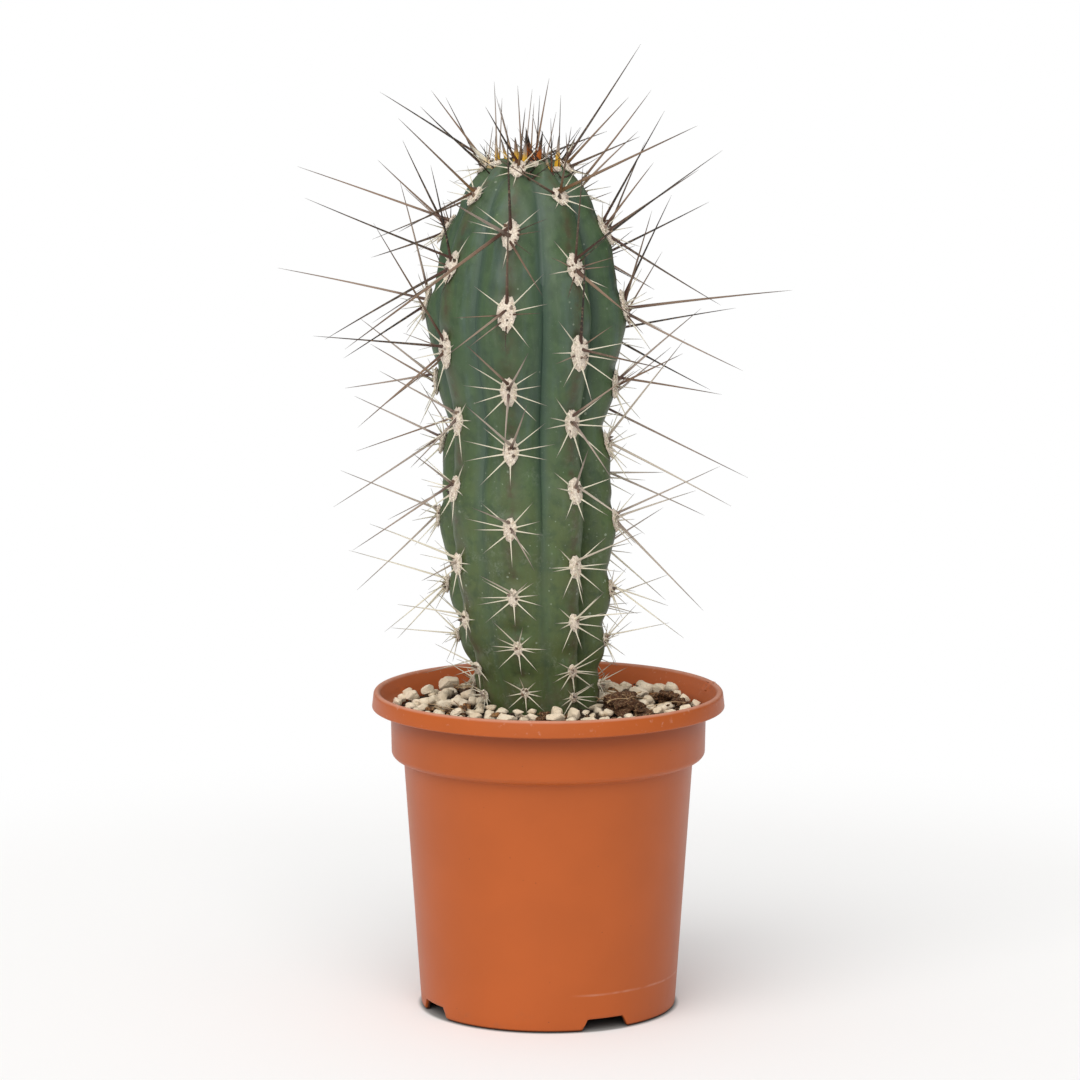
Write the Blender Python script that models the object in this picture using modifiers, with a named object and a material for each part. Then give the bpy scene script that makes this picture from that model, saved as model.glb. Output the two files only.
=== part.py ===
"""A tall ribbed cactus in a terracotta-coloured nursery pot.

Lengths are in millimetres at the top of the file and become metres where the
objects are built. The origin is on the pot's axis, on the surface it stands on,
and +Z is up. An azimuth is measured from -Y, positive towards +X.
"""

import math
import random

import bmesh
import bpy
from mathutils import Matrix, Vector

MM = 0.001
GAP = 0.3  # left between pieces that touch

# Pot: outer radii and heights
POT_HEIGHT = 154.3
WALL = 1.4
FOOT_RADIUS = 61.6
FOOT_WIDTH = 2.2
FLOOR_HEIGHT = 5.0  # underside of the raised floor
PAD_RADIUS = 20.0  # central pad that stands on the surface
BODY_TOP_RADIUS = 69.8
BODY_TOP = 121.5
COLLAR_RADIUS = 75.6
COLLAR_BOTTOM = 124.0
COLLAR_TOP_RADIUS = 76.0
LIP_INNER_RADIUS = 79.4
LIP_TOP_RADIUS = 84.2
LIP_RADIUS = 85.0
LIP_BOTTOM = 146.1
NOTCH_WIDTH = 22.0
NOTCH_HEIGHT = 6.0
NOTCH_DEPTH = 8.0
NOTCH_AZIMUTH = 26.5
NOTCHES = 4
NOTCH_SLOPE = 3.0  # how far each end of a notch leans in at its top
DRAIN_RADIUS = 4.0
DRAIN_CIRCLE = 42.0
DRAINS = 6
DRAIN_AZIMUTH = 11.0

SOIL_TOP = 144.5
SOCKET_RADIUS = 27.6  # hollow in the soil that holds the stem's foot

# Stem: crest radius and height down one rib, from the crown to the buried foot
STEM_PROFILE = (
    (0, 405), (9, 408), (17, 405.5), (25, 398), (31.5, 389), (38, 375), (42.5, 361),
    (47, 342), (47.4, 330), (45.5, 316), (41.5, 298), (38.8, 283), (40, 268),
    (42.3, 250), (42, 232), (39.8, 213), (37.5, 194), (34, 175), (31.2, 164),
    (29, 154), (27.4, 147.5), (26.2, 141), (17, 134), (0, 132),
)
# How deep a furrow is at each height, as a share of the crest radius, and how each furrow
# differs, from the one between ribs 1 and 2 round to the one between ribs 8 and 1
FURROW = ((132, 0.16), (146, 0.26), (165, 0.36), (200, 0.4), (250, 0.36), (300, 0.3), (340, 0.26),
          (376, 0.22), (400, 0.17), (410, 0.12))
FURROW_SHARES = (0.62, 1.15, 0.9, 0.85, 0.85, 0.85, 0.8, 0.48)
RIBS = 8
RIB_TURN = 360 / RIBS
FIRST_RIB = -11.0  # azimuth of the first rib's crest
RIB_UNEVENNESS = -2.5
RIB_ROUNDNESS = 0.72
LEAN = 7.0  # how far the stem shifts towards -X above its foot
LEAN_TOP = -10.5
LEAN_SCALE = 38.0
STUB_TOP = 148.0
SHOULDER = 0.12  # share of the profile that lies on the crown, inside its rim

# Areole heights from the top; neighbouring ribs alternate between the two rows
AREOLE_HEIGHTS = (
    (402, 376, 340, 303, 274),
    (393, 360, 321, 287, 255),
)
SMALL_STEP = 0.004  # along the profile, for its slope
# Width, thickness and height of the felt cushions, from the top areole down
CUSHIONS = ((7, 3, 11), (8, 3, 14.5), (8.6, 3, 15), (7.4, 3, 12.5), (7.4, 3, 12))
CUSHION_SEGMENTS = 8
CUSHION_RINGS = 5
CUSHION_GAP = 0.5
SPINE_BASE = 0.7
SPINE_TIP = 0.15
SPINE_ROOT = 1.6

# Long spines of each areole, from the top one down: sideways turn from the rib's own
# direction and rise in degrees, then length. A rib with None grows them by rule.
LONG_SPINES = (
    (  # rib 1, faces the front
        ((-32, 50, 34), (25, 62, 30)),
        ((-49, -31, 104), (-9, 84, 48), (-23, 21, 52), (38, -35, 40)),
        ((11, 78, 44), (-42, -30, 40)),
        ((-30, 35, 36), (28, 30, 38), (5, -45, 34)),
        ((-40, 38, 34), (30, 42, 34)),
    ),
    (  # rib 2
        ((28, 24, 80), (-15, 60, 36)),
        ((33, 37, 90), (-10, 80, 46), (13, -30, 40)),
        ((-18, 74, 44), (30, -10, 44)),
        ((30, 35, 42), (10, -40, 38)),
        ((35, -30, 40), (-20, 40, 34)),
    ),
    (  # rib 3, the right edge
        ((4, 56, 65), (30, 46, 42), (-14, 23, 40)),
        ((4, 61, 60), (-18, 50, 40), (18, 34, 52), (-6, -31, 62)),
        ((4, 65, 52), (-24, 70, 46), (6, 8, 79), (-10, -24, 62)),
        ((20, -9, 50), (8, 42, 52), (-28, 24, 44)),
        ((4, 52, 58), (0, -25, 66)),
    ),
    (  # rib 4, behind the right edge
        ((-20, 50, 56), (20, 30, 52)),
        ((10, 62, 58), (-8, 22, 62), (25, -20, 50)),
        ((-22, 10, 61), (-30, -30, 54), (18, 45, 55)),
        ((-20, -27, 82), (15, 25, 60)),
        ((-22, -24, 56), (24, -6, 54)),
    ),
    None,
    None,
    (  # rib 7, the left edge
        ((4, 33, 60), (-26, 46, 46), (30, 40, 42)),
        ((8, 20, 78), (-12, 38, 46), (-24, 58, 46), (24, -18, 36)),
        ((-12, 76, 55), (6, 13, 72), (30, -30, 46)),
        ((14, -10, 42), (2, 38, 45), (20, 30, 36)),
        ((14, -34, 61), (-20, 20, 50)),
    ),
    (  # rib 8
        ((-6, -22, 45), (-24, 44, 50)),
        ((-21, 22, 74), (-4, 78, 47), (-18, -26, 67)),
        ((-13, 58, 65), (-22, 6, 62), (-8, -36, 54)),
        ((-30, 30, 40), (10, -35, 36)),
        ((-18, -32, 58), (20, 30, 36)),
    ),
)
HIDDEN_SEED = 7
HIDDEN_TURNS = (-26, 4, 28)
HIDDEN_RISES = (14, 42, -26)
HIDDEN_LENGTHS = (44, 68)

# Stones and bark on the soil: x, y, length, width, height, turn in degrees
STONES = (
    (-48, 46, 12, 11, 8.5, 20), (-59, 33, 9, 7, 6, 60), (-66, 17, 9.5, 8, 6.5, 100),
    (-56, 3, 9, 8, 6, 0), (-43, -26, 9, 8, 5.5, 30), (-20, -40, 12, 7, 5, 8),
    (3, -40, 11, 7, 5.5, 0), (19, -48, 10, 8, 5, 170), (44, 23, 12, 9, 7, 160),
    (54, 37, 11, 9, 6.5, 30), (66, 10, 7, 6, 5.5, 0), (52, -20, 7, 6, 5, 45),
)
BARK = ((36, -20, 20, 15, 10, 10), (56, 16, 12, 8, 6, 25), (63, -3, 10, 7, 5.5, 80))
ROUGHNESS = {"stone": 0.08, "bark": 0.14}

MATERIALS = {  # base colour, roughness
    "terracotta_plastic": ((0.54, 0.13, 0.045), 0.4),
    "soil": ((0.045, 0.03, 0.02), 0.95),
    "stem_skin": ((0.06, 0.13, 0.065), 0.5),
    "areole_and_spine": ((0.62, 0.52, 0.4), 0.6),
    "stone": ((0.6, 0.5, 0.37), 0.85),
    "bark": ((0.1, 0.05, 0.028), 0.9),
}


def radians(degrees):
    return math.radians(degrees)


def outward(azimuth):
    """Level unit vector at an azimuth in degrees."""
    return Vector((math.sin(radians(azimuth)), -math.cos(radians(azimuth)), 0))


def between(table, x):
    """Value at x on straight lines through a table of (x, value)."""
    for (x0, y0), (x1, y1) in zip(table, table[1:]):
        if x <= x1:
            return y0 + (y1 - y0) * max(0, x - x0) / (x1 - x0)
    return table[-1][1]


def stem_centre(z):
    """The stem's middle at a height: it stands in its socket and leans above it."""
    return LEAN_TOP + LEAN * math.exp(-(max(z, STUB_TOP) - STUB_TOP) / LEAN_SCALE)


def profile_point(t):
    """Crest radius and height at t from 0 (crown) to 1 (foot), on a smooth curve."""
    points = [Vector(p) for p in STEM_PROFILE]
    at = min(max(t, 0), 1) * (len(points) - 1)
    i = min(int(at), len(points) - 2)
    f = at - i
    before = points[i - 1] if i else points[0]
    after = points[i + 2] if i + 2 < len(points) else points[-1]
    a, b = points[i], points[i + 1]
    return 0.5 * (
        2 * a + (b - before) * f + (2 * before - 5 * a + 4 * b - after) * f**2
        + (3 * a - before - 3 * b + after) * f**3
    )


def profile_at(z):
    """The place on the profile's long flank at a height."""
    low, high = SHOULDER, 1.0
    for _ in range(40):
        middle = (low + high) / 2
        if profile_point(middle).y > z:
            low = middle
        else:
            high = middle
    return low


def rib_azimuth(rib):
    """Azimuth of a rib's crest; a fraction is a place between two crests."""
    turn = RIB_TURN * rib
    return FIRST_RIB + turn + RIB_UNEVENNESS * math.sin(radians(turn))


def stem_point(rib, t):
    """A point on the stem's skin, in millimetres; rib may be a fraction."""
    crest, z = profile_point(t)
    across = abs(math.cos(math.pi * rib)) ** RIB_ROUNDNESS
    depth = between(FURROW, z) * FURROW_SHARES[int(rib % RIBS) % RIBS]
    radius = crest * (1 - depth * (1 - across))
    return Vector((stem_centre(z), 0, z)) + outward(rib_azimuth(rib)) * radius


def material(name):
    made = bpy.data.materials.get(name)
    if made:
        return made
    colour, roughness = MATERIALS[name]
    made = bpy.data.materials.new(name)
    made.use_nodes = True
    shader = made.node_tree.nodes["Principled BSDF"]
    shader.inputs["Base Color"].default_value = (*colour, 1)
    shader.inputs["Roughness"].default_value = roughness
    made.diffuse_color = (*colour, 1)
    return made


def new_collection(name):
    made = bpy.data.collections.new(name)
    bpy.context.scene.collection.children.link(made)
    return made


def add(name, bm, collection, surface, smooth=35):
    """Make an object of a bmesh in millimetres."""
    bmesh.ops.scale(bm, vec=(MM, MM, MM), verts=bm.verts)
    mesh = bpy.data.meshes.new(name)
    bm.to_mesh(mesh)
    bm.free()
    mesh.materials.append(material(surface))
    mesh.shade_smooth()
    mesh.set_sharp_from_angle(angle=radians(smooth))
    obj = bpy.data.objects.new(name, mesh)
    collection.objects.link(obj)
    return obj


def add_turned(name, profile, collection, surface, steps):
    """Turn a profile of (radius, height) that runs down its outer side."""
    bm = bmesh.new()
    verts = [bm.verts.new((r, 0, z)) for r, z in profile]
    for a, b in zip(verts, verts[1:]):
        bm.edges.new((a, b))
    obj = add(name, bm, collection, surface)
    screw = obj.modifiers.new("Turn", "SCREW")
    screw.steps = steps
    screw.render_steps = steps
    screw.use_merge_vertices = True
    screw.merge_threshold = 0.0001
    screw.use_smooth_shade = True
    return obj


def cut(obj, cutter):
    """Subtract a cutter object, which is drawn as wire and never rendered."""
    cutter.hide_render = True
    cutter.display_type = "WIRE"
    boolean = obj.modifiers.new(cutter.name, "BOOLEAN")
    boolean.operation = "DIFFERENCE"
    boolean.solver = "EXACT"
    boolean.object = cutter


def body_radius(z):
    """Outer radius of the tapered body below the collar."""
    return FOOT_RADIUS + (BODY_TOP_RADIUS - FOOT_RADIUS) * z / BODY_TOP


def pot_profile():
    """From the inside of the floor, up the inside, over the lip and down the outside."""
    floor = FLOOR_HEIGHT + WALL
    inner_foot = FOOT_RADIUS - FOOT_WIDTH
    return [
        (0, WALL),
        (PAD_RADIUS - 2 * WALL, WALL),
        (PAD_RADIUS - WALL, floor),
        (body_radius(floor) - WALL - 1.5, floor),
        (body_radius(floor) - WALL, floor + 1.5),
        (BODY_TOP_RADIUS - WALL, BODY_TOP + WALL),
        (COLLAR_RADIUS - WALL, COLLAR_BOTTOM + WALL),
        (COLLAR_TOP_RADIUS - WALL, LIP_BOTTOM),
        (LIP_INNER_RADIUS - 3.8, POT_HEIGHT - 4),
        (LIP_INNER_RADIUS - 0.6, POT_HEIGHT - 0.9),
        (LIP_INNER_RADIUS + 0.8, POT_HEIGHT),
        (LIP_TOP_RADIUS - 1.2, POT_HEIGHT),
        (LIP_TOP_RADIUS, POT_HEIGHT - 1.1),
        (LIP_RADIUS, LIP_BOTTOM),
        (LIP_RADIUS - WALL, LIP_BOTTOM),
        (LIP_TOP_RADIUS - 2 * WALL, POT_HEIGHT - WALL - 0.8),
        (COLLAR_TOP_RADIUS + 0.8, POT_HEIGHT - 2 * WALL - 0.8),
        (COLLAR_TOP_RADIUS, LIP_BOTTOM),
        (COLLAR_RADIUS, COLLAR_BOTTOM),
        (COLLAR_RADIUS - 1.6, COLLAR_BOTTOM - 1.8),
        (BODY_TOP_RADIUS, BODY_TOP),
        (FOOT_RADIUS, 0),
        (inner_foot, 0),
        (inner_foot + 0.4, FLOOR_HEIGHT),
        (PAD_RADIUS, FLOOR_HEIGHT),
        (PAD_RADIUS - WALL, 0),
        (0, 0),
    ]


def add_notch_cutter(index, cutters):
    """A block with sloping ends that cuts one notch out of the foot ring."""
    bm = bmesh.new()
    bmesh.ops.create_cube(bm, size=1)
    size = (NOTCH_WIDTH + 2 * NOTCH_SLOPE, NOTCH_DEPTH, 2 * NOTCH_HEIGHT)
    bmesh.ops.scale(bm, vec=size, verts=bm.verts)
    top = [v for v in bm.verts if v.co.z > 0]
    bmesh.ops.scale(bm, vec=(1 - 4 * NOTCH_SLOPE / size[0], 1, 1), verts=top)
    azimuth = NOTCH_AZIMUTH + index * 360 / NOTCHES
    turn = Matrix.Rotation(radians(azimuth), 4, "Z")
    bmesh.ops.transform(bm, matrix=turn, verts=bm.verts)
    bmesh.ops.translate(bm, vec=outward(azimuth) * (FOOT_RADIUS - 1), verts=bm.verts)
    return add(f"notch_{index + 1}", bm, cutters, "terracotta_plastic")


def add_drill(name, centre, radius, z0, z1, cutters, sides):
    bm = bmesh.new()
    bmesh.ops.create_cone(
        bm, cap_ends=True, segments=sides, radius1=radius, radius2=radius, depth=z1 - z0
    )
    middle = Vector((centre.x, centre.y, (z0 + z1) / 2))
    bmesh.ops.translate(bm, vec=middle, verts=bm.verts)
    return add(name, bm, cutters, "soil")


def add_pot(collection, cutters):
    pot = add_turned("pot", pot_profile(), collection, "terracotta_plastic", 48)
    for i in range(NOTCHES):
        cut(pot, add_notch_cutter(i, cutters))
    for i in range(DRAINS):
        at = outward(DRAIN_AZIMUTH + i * 360 / DRAINS) * DRAIN_CIRCLE
        drill = add_drill(f"drain_{i + 1}", at, DRAIN_RADIUS, 1, 12, cutters, 12)
        cut(pot, drill)


def add_soil(collection, cutters):
    """Fills the pot from its floor, a gap clear of it, round the stem's foot."""
    floor = FLOOR_HEIGHT + WALL + GAP
    side = WALL + GAP
    profile = [
        (0, SOIL_TOP),
        (COLLAR_TOP_RADIUS - side - 0.1, SOIL_TOP),
        (COLLAR_RADIUS - side, COLLAR_BOTTOM + WALL + GAP),
        (BODY_TOP_RADIUS - side, BODY_TOP + WALL + GAP),
        (body_radius(floor) - side - 0.2, floor + 1.8),
        (body_radius(floor) - side - 2, floor),
        (PAD_RADIUS - side, floor),
        (PAD_RADIUS - side - WALL - 0.2, WALL + GAP),
        (0, WALL + GAP),
    ]
    soil = add_turned("soil", profile, collection, "soil", 48)
    foot = Vector((stem_centre(0), 0, 0))
    bottom = STEM_PROFILE[-1][1] - GAP
    drill = add_drill("socket", foot, SOCKET_RADIUS, bottom, SOIL_TOP + 5, cutters, 32)
    cut(soil, drill)


def add_stem(collection):
    """A sphere whose rings run down the profile and whose segments follow the ribs."""
    segments, rings = 6 * RIBS, 30
    bm = bmesh.new()
    bmesh.ops.create_uvsphere(bm, u_segments=segments, v_segments=rings, radius=1)
    for v in bm.verts:
        t = math.acos(max(-1, min(1, v.co.z))) / math.pi
        rib = math.atan2(v.co.y, v.co.x) / (2 * math.pi) * RIBS
        v.co = stem_point(rib, t)
    bmesh.ops.recalc_face_normals(bm, faces=bm.faces)
    add("cactus_stem", bm, collection, "stem_skin", smooth=50)


def areole_frame(rib, z):
    """A crest point and the directions across, out of and up the crest there."""
    t = profile_at(z)
    here, below = stem_point(rib, t), stem_point(rib, t + SMALL_STEP)
    up = (here - below).normalized()
    across = outward(rib_azimuth(rib) - 90)
    out = up.cross(across).normalized()
    return here, across, out, up


def grow_spine(bm, free, direction, length):
    """Draw a spine out of the cushion face that looks its way best."""
    face = max(free, key=lambda f: f.normal.dot(direction))
    free.remove(face)
    base = face.calc_center_median()
    for distance, radius in ((SPINE_ROOT, SPINE_BASE), (length, SPINE_TIP)):
        centre = face.calc_center_median()
        face = bmesh.ops.extrude_discrete_faces(bm, faces=[face])["faces"][0]
        for v in face.verts:
            aside = v.co - centre
            aside -= direction * aside.dot(direction)
            v.co = base + direction * distance + aside.normalized() * radius


def add_areole(name, rib, z, cushion, spines, collection):
    here, across, out, up = areole_frame(rib, z)
    width, thickness, height = cushion
    centre = here + out * (thickness / 2 + CUSHION_GAP)
    bm = bmesh.new()
    bmesh.ops.create_uvsphere(
        bm, u_segments=CUSHION_SEGMENTS, v_segments=CUSHION_RINGS, radius=0.5
    )
    for v in bm.verts:
        v.co = (
            centre + across * (v.co.x * width) + out * (v.co.y * thickness)
            + up * (v.co.z * height)
        )
    bm.normal_update()
    free = [f for f in bm.faces if len(f.verts) == 4 and f.normal.dot(out) > 0]
    for turn, rise, length in spines:
        level = outward(rib_azimuth(rib) + turn)
        direction = level * math.cos(radians(rise)) + Vector((0, 0, math.sin(radians(rise))))
        grow_spine(bm, free, direction, length)
    add(name, bm, collection, "areole_and_spine")


def hidden_spines(rib, level):
    """Long spines for a rib at the back, by rule from a fixed seed."""
    rng = random.Random(HIDDEN_SEED + 10 * rib + level)
    return [
        (turn + rng.uniform(-8, 8), rise + rng.uniform(-10, 10), rng.uniform(*HIDDEN_LENGTHS))
        for turn, rise in zip(HIDDEN_TURNS, HIDDEN_RISES)
    ]


def add_areoles(collection):
    for rib in range(RIBS):
        for level, z in enumerate(AREOLE_HEIGHTS[rib % 2]):
            rows = LONG_SPINES[rib]
            spines = rows[level] if rows else hidden_spines(rib, level)
            name = f"rib_{rib + 1}_areole_{level + 1}"
            add_areole(name, rib, z, CUSHIONS[level], spines, collection)


def add_lump(name, kind, place, collection, seed):
    """A stone or a bark chip that rests on the soil."""
    x, y, length, width, height, turn = place
    rng = random.Random(seed)
    bm = bmesh.new()
    bmesh.ops.create_icosphere(bm, subdivisions=2, radius=0.5)
    for v in bm.verts:
        v.co *= 1 + rng.uniform(-ROUGHNESS[kind], ROUGHNESS[kind])
    bmesh.ops.scale(bm, vec=(length, width, height), verts=bm.verts)
    bmesh.ops.rotate(bm, matrix=Matrix.Rotation(radians(turn), 3, "Z"), verts=bm.verts)
    lowest = min(v.co.z for v in bm.verts)
    bmesh.ops.translate(bm, vec=(x, y, SOIL_TOP + GAP - lowest), verts=bm.verts)
    add(name, bm, collection, kind, smooth=80)


def clear_scene():
    for obj in list(bpy.data.objects):
        bpy.data.objects.remove(obj)


def main():
    clear_scene()
    collection = new_collection("potted_cactus")
    cutters = new_collection("cutters")
    add_pot(collection, cutters)
    add_soil(collection, cutters)
    add_stem(collection)
    add_areoles(collection)
    for i, place in enumerate(STONES):
        add_lump(f"stone_{i + 1}", "stone", place, collection, seed=100 + i)
    for i, place in enumerate(BARK):
        add_lump(f"bark_{i + 1}", "bark", place, collection, seed=200 + i)


main()
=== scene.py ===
"""Potted tall cactus: the looks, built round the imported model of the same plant.

Lengths are in millimetres in the tables and settings and become metres when a piece
is finished. An azimuth is measured from -Y, positive towards +X.
"""

import math
import random

import bmesh
import bpy
from bpy.props import FloatProperty, FloatVectorProperty, IntProperty, PointerProperty
from mathutils import Matrix, Vector, noise


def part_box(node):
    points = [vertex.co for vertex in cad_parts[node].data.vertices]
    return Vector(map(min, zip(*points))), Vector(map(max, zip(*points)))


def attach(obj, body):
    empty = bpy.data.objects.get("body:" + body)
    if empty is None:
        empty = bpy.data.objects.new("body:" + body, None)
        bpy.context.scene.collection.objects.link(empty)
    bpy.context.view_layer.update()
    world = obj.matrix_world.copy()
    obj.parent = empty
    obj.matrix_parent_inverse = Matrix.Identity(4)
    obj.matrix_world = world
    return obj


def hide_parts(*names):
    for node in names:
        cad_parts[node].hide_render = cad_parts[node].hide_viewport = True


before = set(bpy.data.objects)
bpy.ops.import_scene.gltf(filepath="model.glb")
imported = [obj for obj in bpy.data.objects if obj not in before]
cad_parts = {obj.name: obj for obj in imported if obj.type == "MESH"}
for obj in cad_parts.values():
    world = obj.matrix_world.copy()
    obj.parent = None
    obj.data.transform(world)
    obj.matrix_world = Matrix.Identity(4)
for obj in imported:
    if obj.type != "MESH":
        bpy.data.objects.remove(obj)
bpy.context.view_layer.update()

bl_info = {
    "name": "Potted Cactus",
    "version": (1, 0, 0),
    "blender": (4, 5, 0),
    "location": "3D View > Sidebar > Potted Cactus",
    "description": "Builds a tall ribbed cactus in a nursery pot, with its spines and top dressing",
    "category": "Object",
}

MM = 0.001
BODY = "root"

# Pot, as turned: outer radii and heights
POT_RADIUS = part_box("pot")[1][0] / MM
POT_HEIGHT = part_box("pot")[1][2] / MM
WALL = 1.4
FLOOR_FADE = (380, 640)  # where the floor starts and ends fading to white
FOOT_RADIUS = 61.6
FOOT_WIDTH = 2.2
FLOOR_HEIGHT = 5.0
PAD_RADIUS = 20.0
BODY_TOP_RADIUS = 69.8
BODY_TOP = 121.5
COLLAR_RADIUS = 75.6
COLLAR_BOTTOM = 124.0
COLLAR_TOP_RADIUS = 76.0
LIP_INNER_RADIUS = 79.4
LIP_TOP_RADIUS = 84.2
LIP_BOTTOM = 146.1
NOTCHES = 4
NOTCH_WIDTH = 22.0
NOTCH_HEIGHT = 6.0
NOTCH_SLOPE = 3.0
NOTCH_AZIMUTH = 26.5
FOOT_STEP = (24, 34)  # beside each notch the foot is a little short
FOOT_STEP_RISE = 0.5
CHIP_AZIMUTH = 104.0  # the lip is knocked there
CHIP_WIDTH = 4
CHIP_DEPTH = 0.022

SOIL_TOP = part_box("soil")[1][2] / MM

# Stem: crest radius and height down one rib, from the crown to the buried foot
STEM_PROFILE = (
    (0, 405), (9, 408), (17, 405.5), (25, 398), (31.5, 389), (38, 375), (42.5, 361),
    (47, 342), (47.4, 330), (45.5, 316), (41.5, 298), (38.8, 283), (40, 268),
    (42.3, 250), (42, 232), (39.8, 213), (37.5, 194), (34, 175), (31.2, 164),
    (29, 154), (27.4, 147.5), (26.2, 141), (17, 134), (0, 132),
)
# How deep the furrows are at each height, and how much deeper or shallower each one is,
# from the one between ribs 1 and 2 round to the one between ribs 8 and 1
FURROW = ((132, 0.16), (146, 0.26), (165, 0.36), (200, 0.4), (250, 0.36), (300, 0.3), (340, 0.26),
          (376, 0.22), (400, 0.17), (410, 0.12))
FURROW_SHARES = (0.45, 1.2, 0.9, 0.85, 0.85, 0.85, 0.8, 0.32)
SHALLOW_FURROW = ((150, 0.3), (200, 0.4), (290, 1))  # the front furrows fade towards the foot
RIBS = 8
RIB_TURN = 360 / RIBS
FIRST_RIB = -11.0
RIB_UNEVENNESS = -2.5
RIB_ROUNDNESS = 0.72
SHARE_TO_FADE = 0.6  # furrows with a smaller share than this one fade towards the foot
STEM_FOOT_RADIUS = 28.5
# The stem leaves the soil at LEAN_TOP + LEAN and comes over to LEAN_TOP above STUB_TOP
LEAN = 7.0
LEAN_TOP = -10.5
LEAN_SCALE = 38.0
STUB_TOP = 148.0
SHOULDER = 0.06  # share of the profile, from the crown, where the long flank starts
SMALL_STEP = 0.004  # share of the profile that a slope is measured over
CROWN_HUMP = 7.0
# How far a crest swells below an areole, dips above it and sinks everywhere
SWELLING = 1.9
NICK = 1.3
SETTLING = 0.8

# Areole heights from the top; neighbouring ribs alternate between the two rows
AREOLE_HEIGHTS = (
    (404, 376, 340, 303, 274, 238, 205, 180, 158),
    (393, 360, 321, 287, 255, 219, 192, 168, 155),
)
CAD_AREOLES = 5  # each rib's upper areoles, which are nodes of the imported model
CROWN_HEIGHT = 407.5
# Sizes and tones by areole, counted from the top
CUSHION_WIDTHS = ((0, 8), (1, 8.8), (2, 9.3), (3, 7.8), (4, 7.6), (5, 6.6), (6, 5.4), (8, 4))
CUSHION_HEIGHTS = (
    (0, 10), (1, 15), (2, 16.5), (3, 13), (4, 12.5), (5, 10.5), (6, 8.4), (8, 5),
)
CUSHION_THICKNESS = 2.8
CUSHION_HAIRS = 46
SHORT_LENGTHS = ((0, 15), (2, 20), (5, 17), (8, 10))
SHORT_RADII = ((0, 0.31), (4, 0.35), (8, 0.27))
LONG_TONES = ((0, 0.95), (2, 0.88), (3, 0.6), (5, 0.42), (6, 0.2), (8, 0.12))
LONG_THICKNESS = ((0, 1), (4, 0.95), (6, 0.7), (8, 0.45))
CROWN_NEEDLES = 66
CROWN_TUFTS = 12
TUFT_SPACING = 3.6
SPIRAL = 2.4  # radians from one to the next, which spreads things evenly round a middle

# Long spines of each areole: turn from the rib's own direction, rise, length, and for some
# a thickness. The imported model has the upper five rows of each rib.
LONG_SPINES = (
    (  # rib 1, faces the front
        ((-32, 50, 34), (25, 62, 30)),
        ((-49, -31, 104, 1.0), (-9, 84, 48, 0.8), (-23, 21, 52, 1.0), (38, -35, 40)),
        ((11, 78, 44, 0.8), (-42, -30, 40)),
        ((-30, 35, 36), (28, 30, 38), (5, -45, 34)),
        ((-40, 38, 34), (30, 42, 34)),
        ((-25, 20, 30), (35, -30, 34)),
        ((-30, 25, 24), (28, 22, 26)),
        ((-35, 40, 20), (20, 35, 20)),
        ((0, 35, 14),),
    ),
    (  # rib 2
        ((28, 24, 80, 0.9), (-15, 60, 36), (-112, 31, 42, 0.45)),
        ((33, 37, 90), (-10, 80, 46), (13, -30, 40, 1.0)),
        ((-18, 74, 44, 0.8), (30, -10, 44)),
        ((30, 35, 42), (10, -40, 38)),
        ((35, -30, 40), (-20, 40, 34)),
        ((28, 24, 38), (-26, -20, 28)),
        ((32, 10, 34), (10, 38, 26)),
        ((25, 35, 24),),
        ((20, 30, 14),),
    ),
    (  # rib 3, the right edge
        ((4, 56, 65), (30, 46, 42), (-14, 23, 40)),
        ((4, 61, 60), (-18, 50, 40), (18, 34, 52), (-6, -31, 62)),
        ((4, 65, 52), (-24, 70, 46), (6, 8, 79, 0.8), (-10, -24, 62)),
        ((20, -9, 50), (8, 42, 52), (-28, 24, 44)),
        ((4, 52, 58), (0, -25, 66)),
        ((4, 25, 53), (18, 19, 40), (-16, -40, 59, 0.7)),
        ((-2, -35, 41), (24, -20, 28)),
        ((10, 12, 30), (-10, 48, 22)),
        ((0, 30, 14),),
    ),
    (  # rib 4, behind the right edge
        ((-20, 50, 56), (20, 30, 52)),
        ((10, 62, 58), (-8, 22, 62), (25, -20, 50)),
        ((-22, 10, 61), (-30, -30, 54), (18, 45, 55)),
        ((-20, -27, 82), (15, 25, 60)),
        ((-22, -24, 56), (24, -6, 54)),
        ((-22, -41, 42), (12, 20, 44)),
        ((-18, 18, 36), (20, -15, 32)),
        ((0, 30, 24),),
        ((0, 30, 14),),
    ),
    None,
    None,
    (  # rib 7, the left edge
        ((4, 33, 60), (-26, 46, 46), (30, 40, 42)),
        ((8, 20, 78), (-12, 38, 46), (-24, 58, 46), (24, -18, 36)),
        ((-12, 76, 55), (6, 13, 72), (30, -30, 46)),
        ((14, -10, 42), (2, 38, 45), (20, 30, 36)),
        ((14, -34, 61), (-20, 20, 50)),
        ((14, 22, 49), (18, -44, 52)),
        ((8, 17, 49), (18, -38, 36), (4, -49, 35)),
        ((-2, 43, 24), (10, 5, 30)),
        ((0, 30, 14),),
    ),
    (  # rib 8
        ((-6, -22, 45), (-24, 44, 50)),
        ((-21, 22, 74), (-4, 78, 47), (-18, -26, 67, 0.8)),
        ((-13, 58, 65), (-22, 6, 62), (-8, -36, 54)),
        ((-30, 30, 40), (10, -35, 36)),
        ((-18, -32, 58), (20, 30, 36)),
        ((-21, 24, 45), (24, -10, 30)),
        ((-21, 12, 32), (16, 34, 24)),
        ((-20, 30, 22),),
        ((0, 30, 14),),
    ),
)
AREOLE_SEED = 300
SPINE_SEED = 500
CROWN_SEED = 640
DRESSING_SEED = 77
HIDDEN_SEED = 7
HIDDEN_TURNS = (-26, 4, 28)
HIDDEN_RISES = (14, 42, -26)
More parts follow.
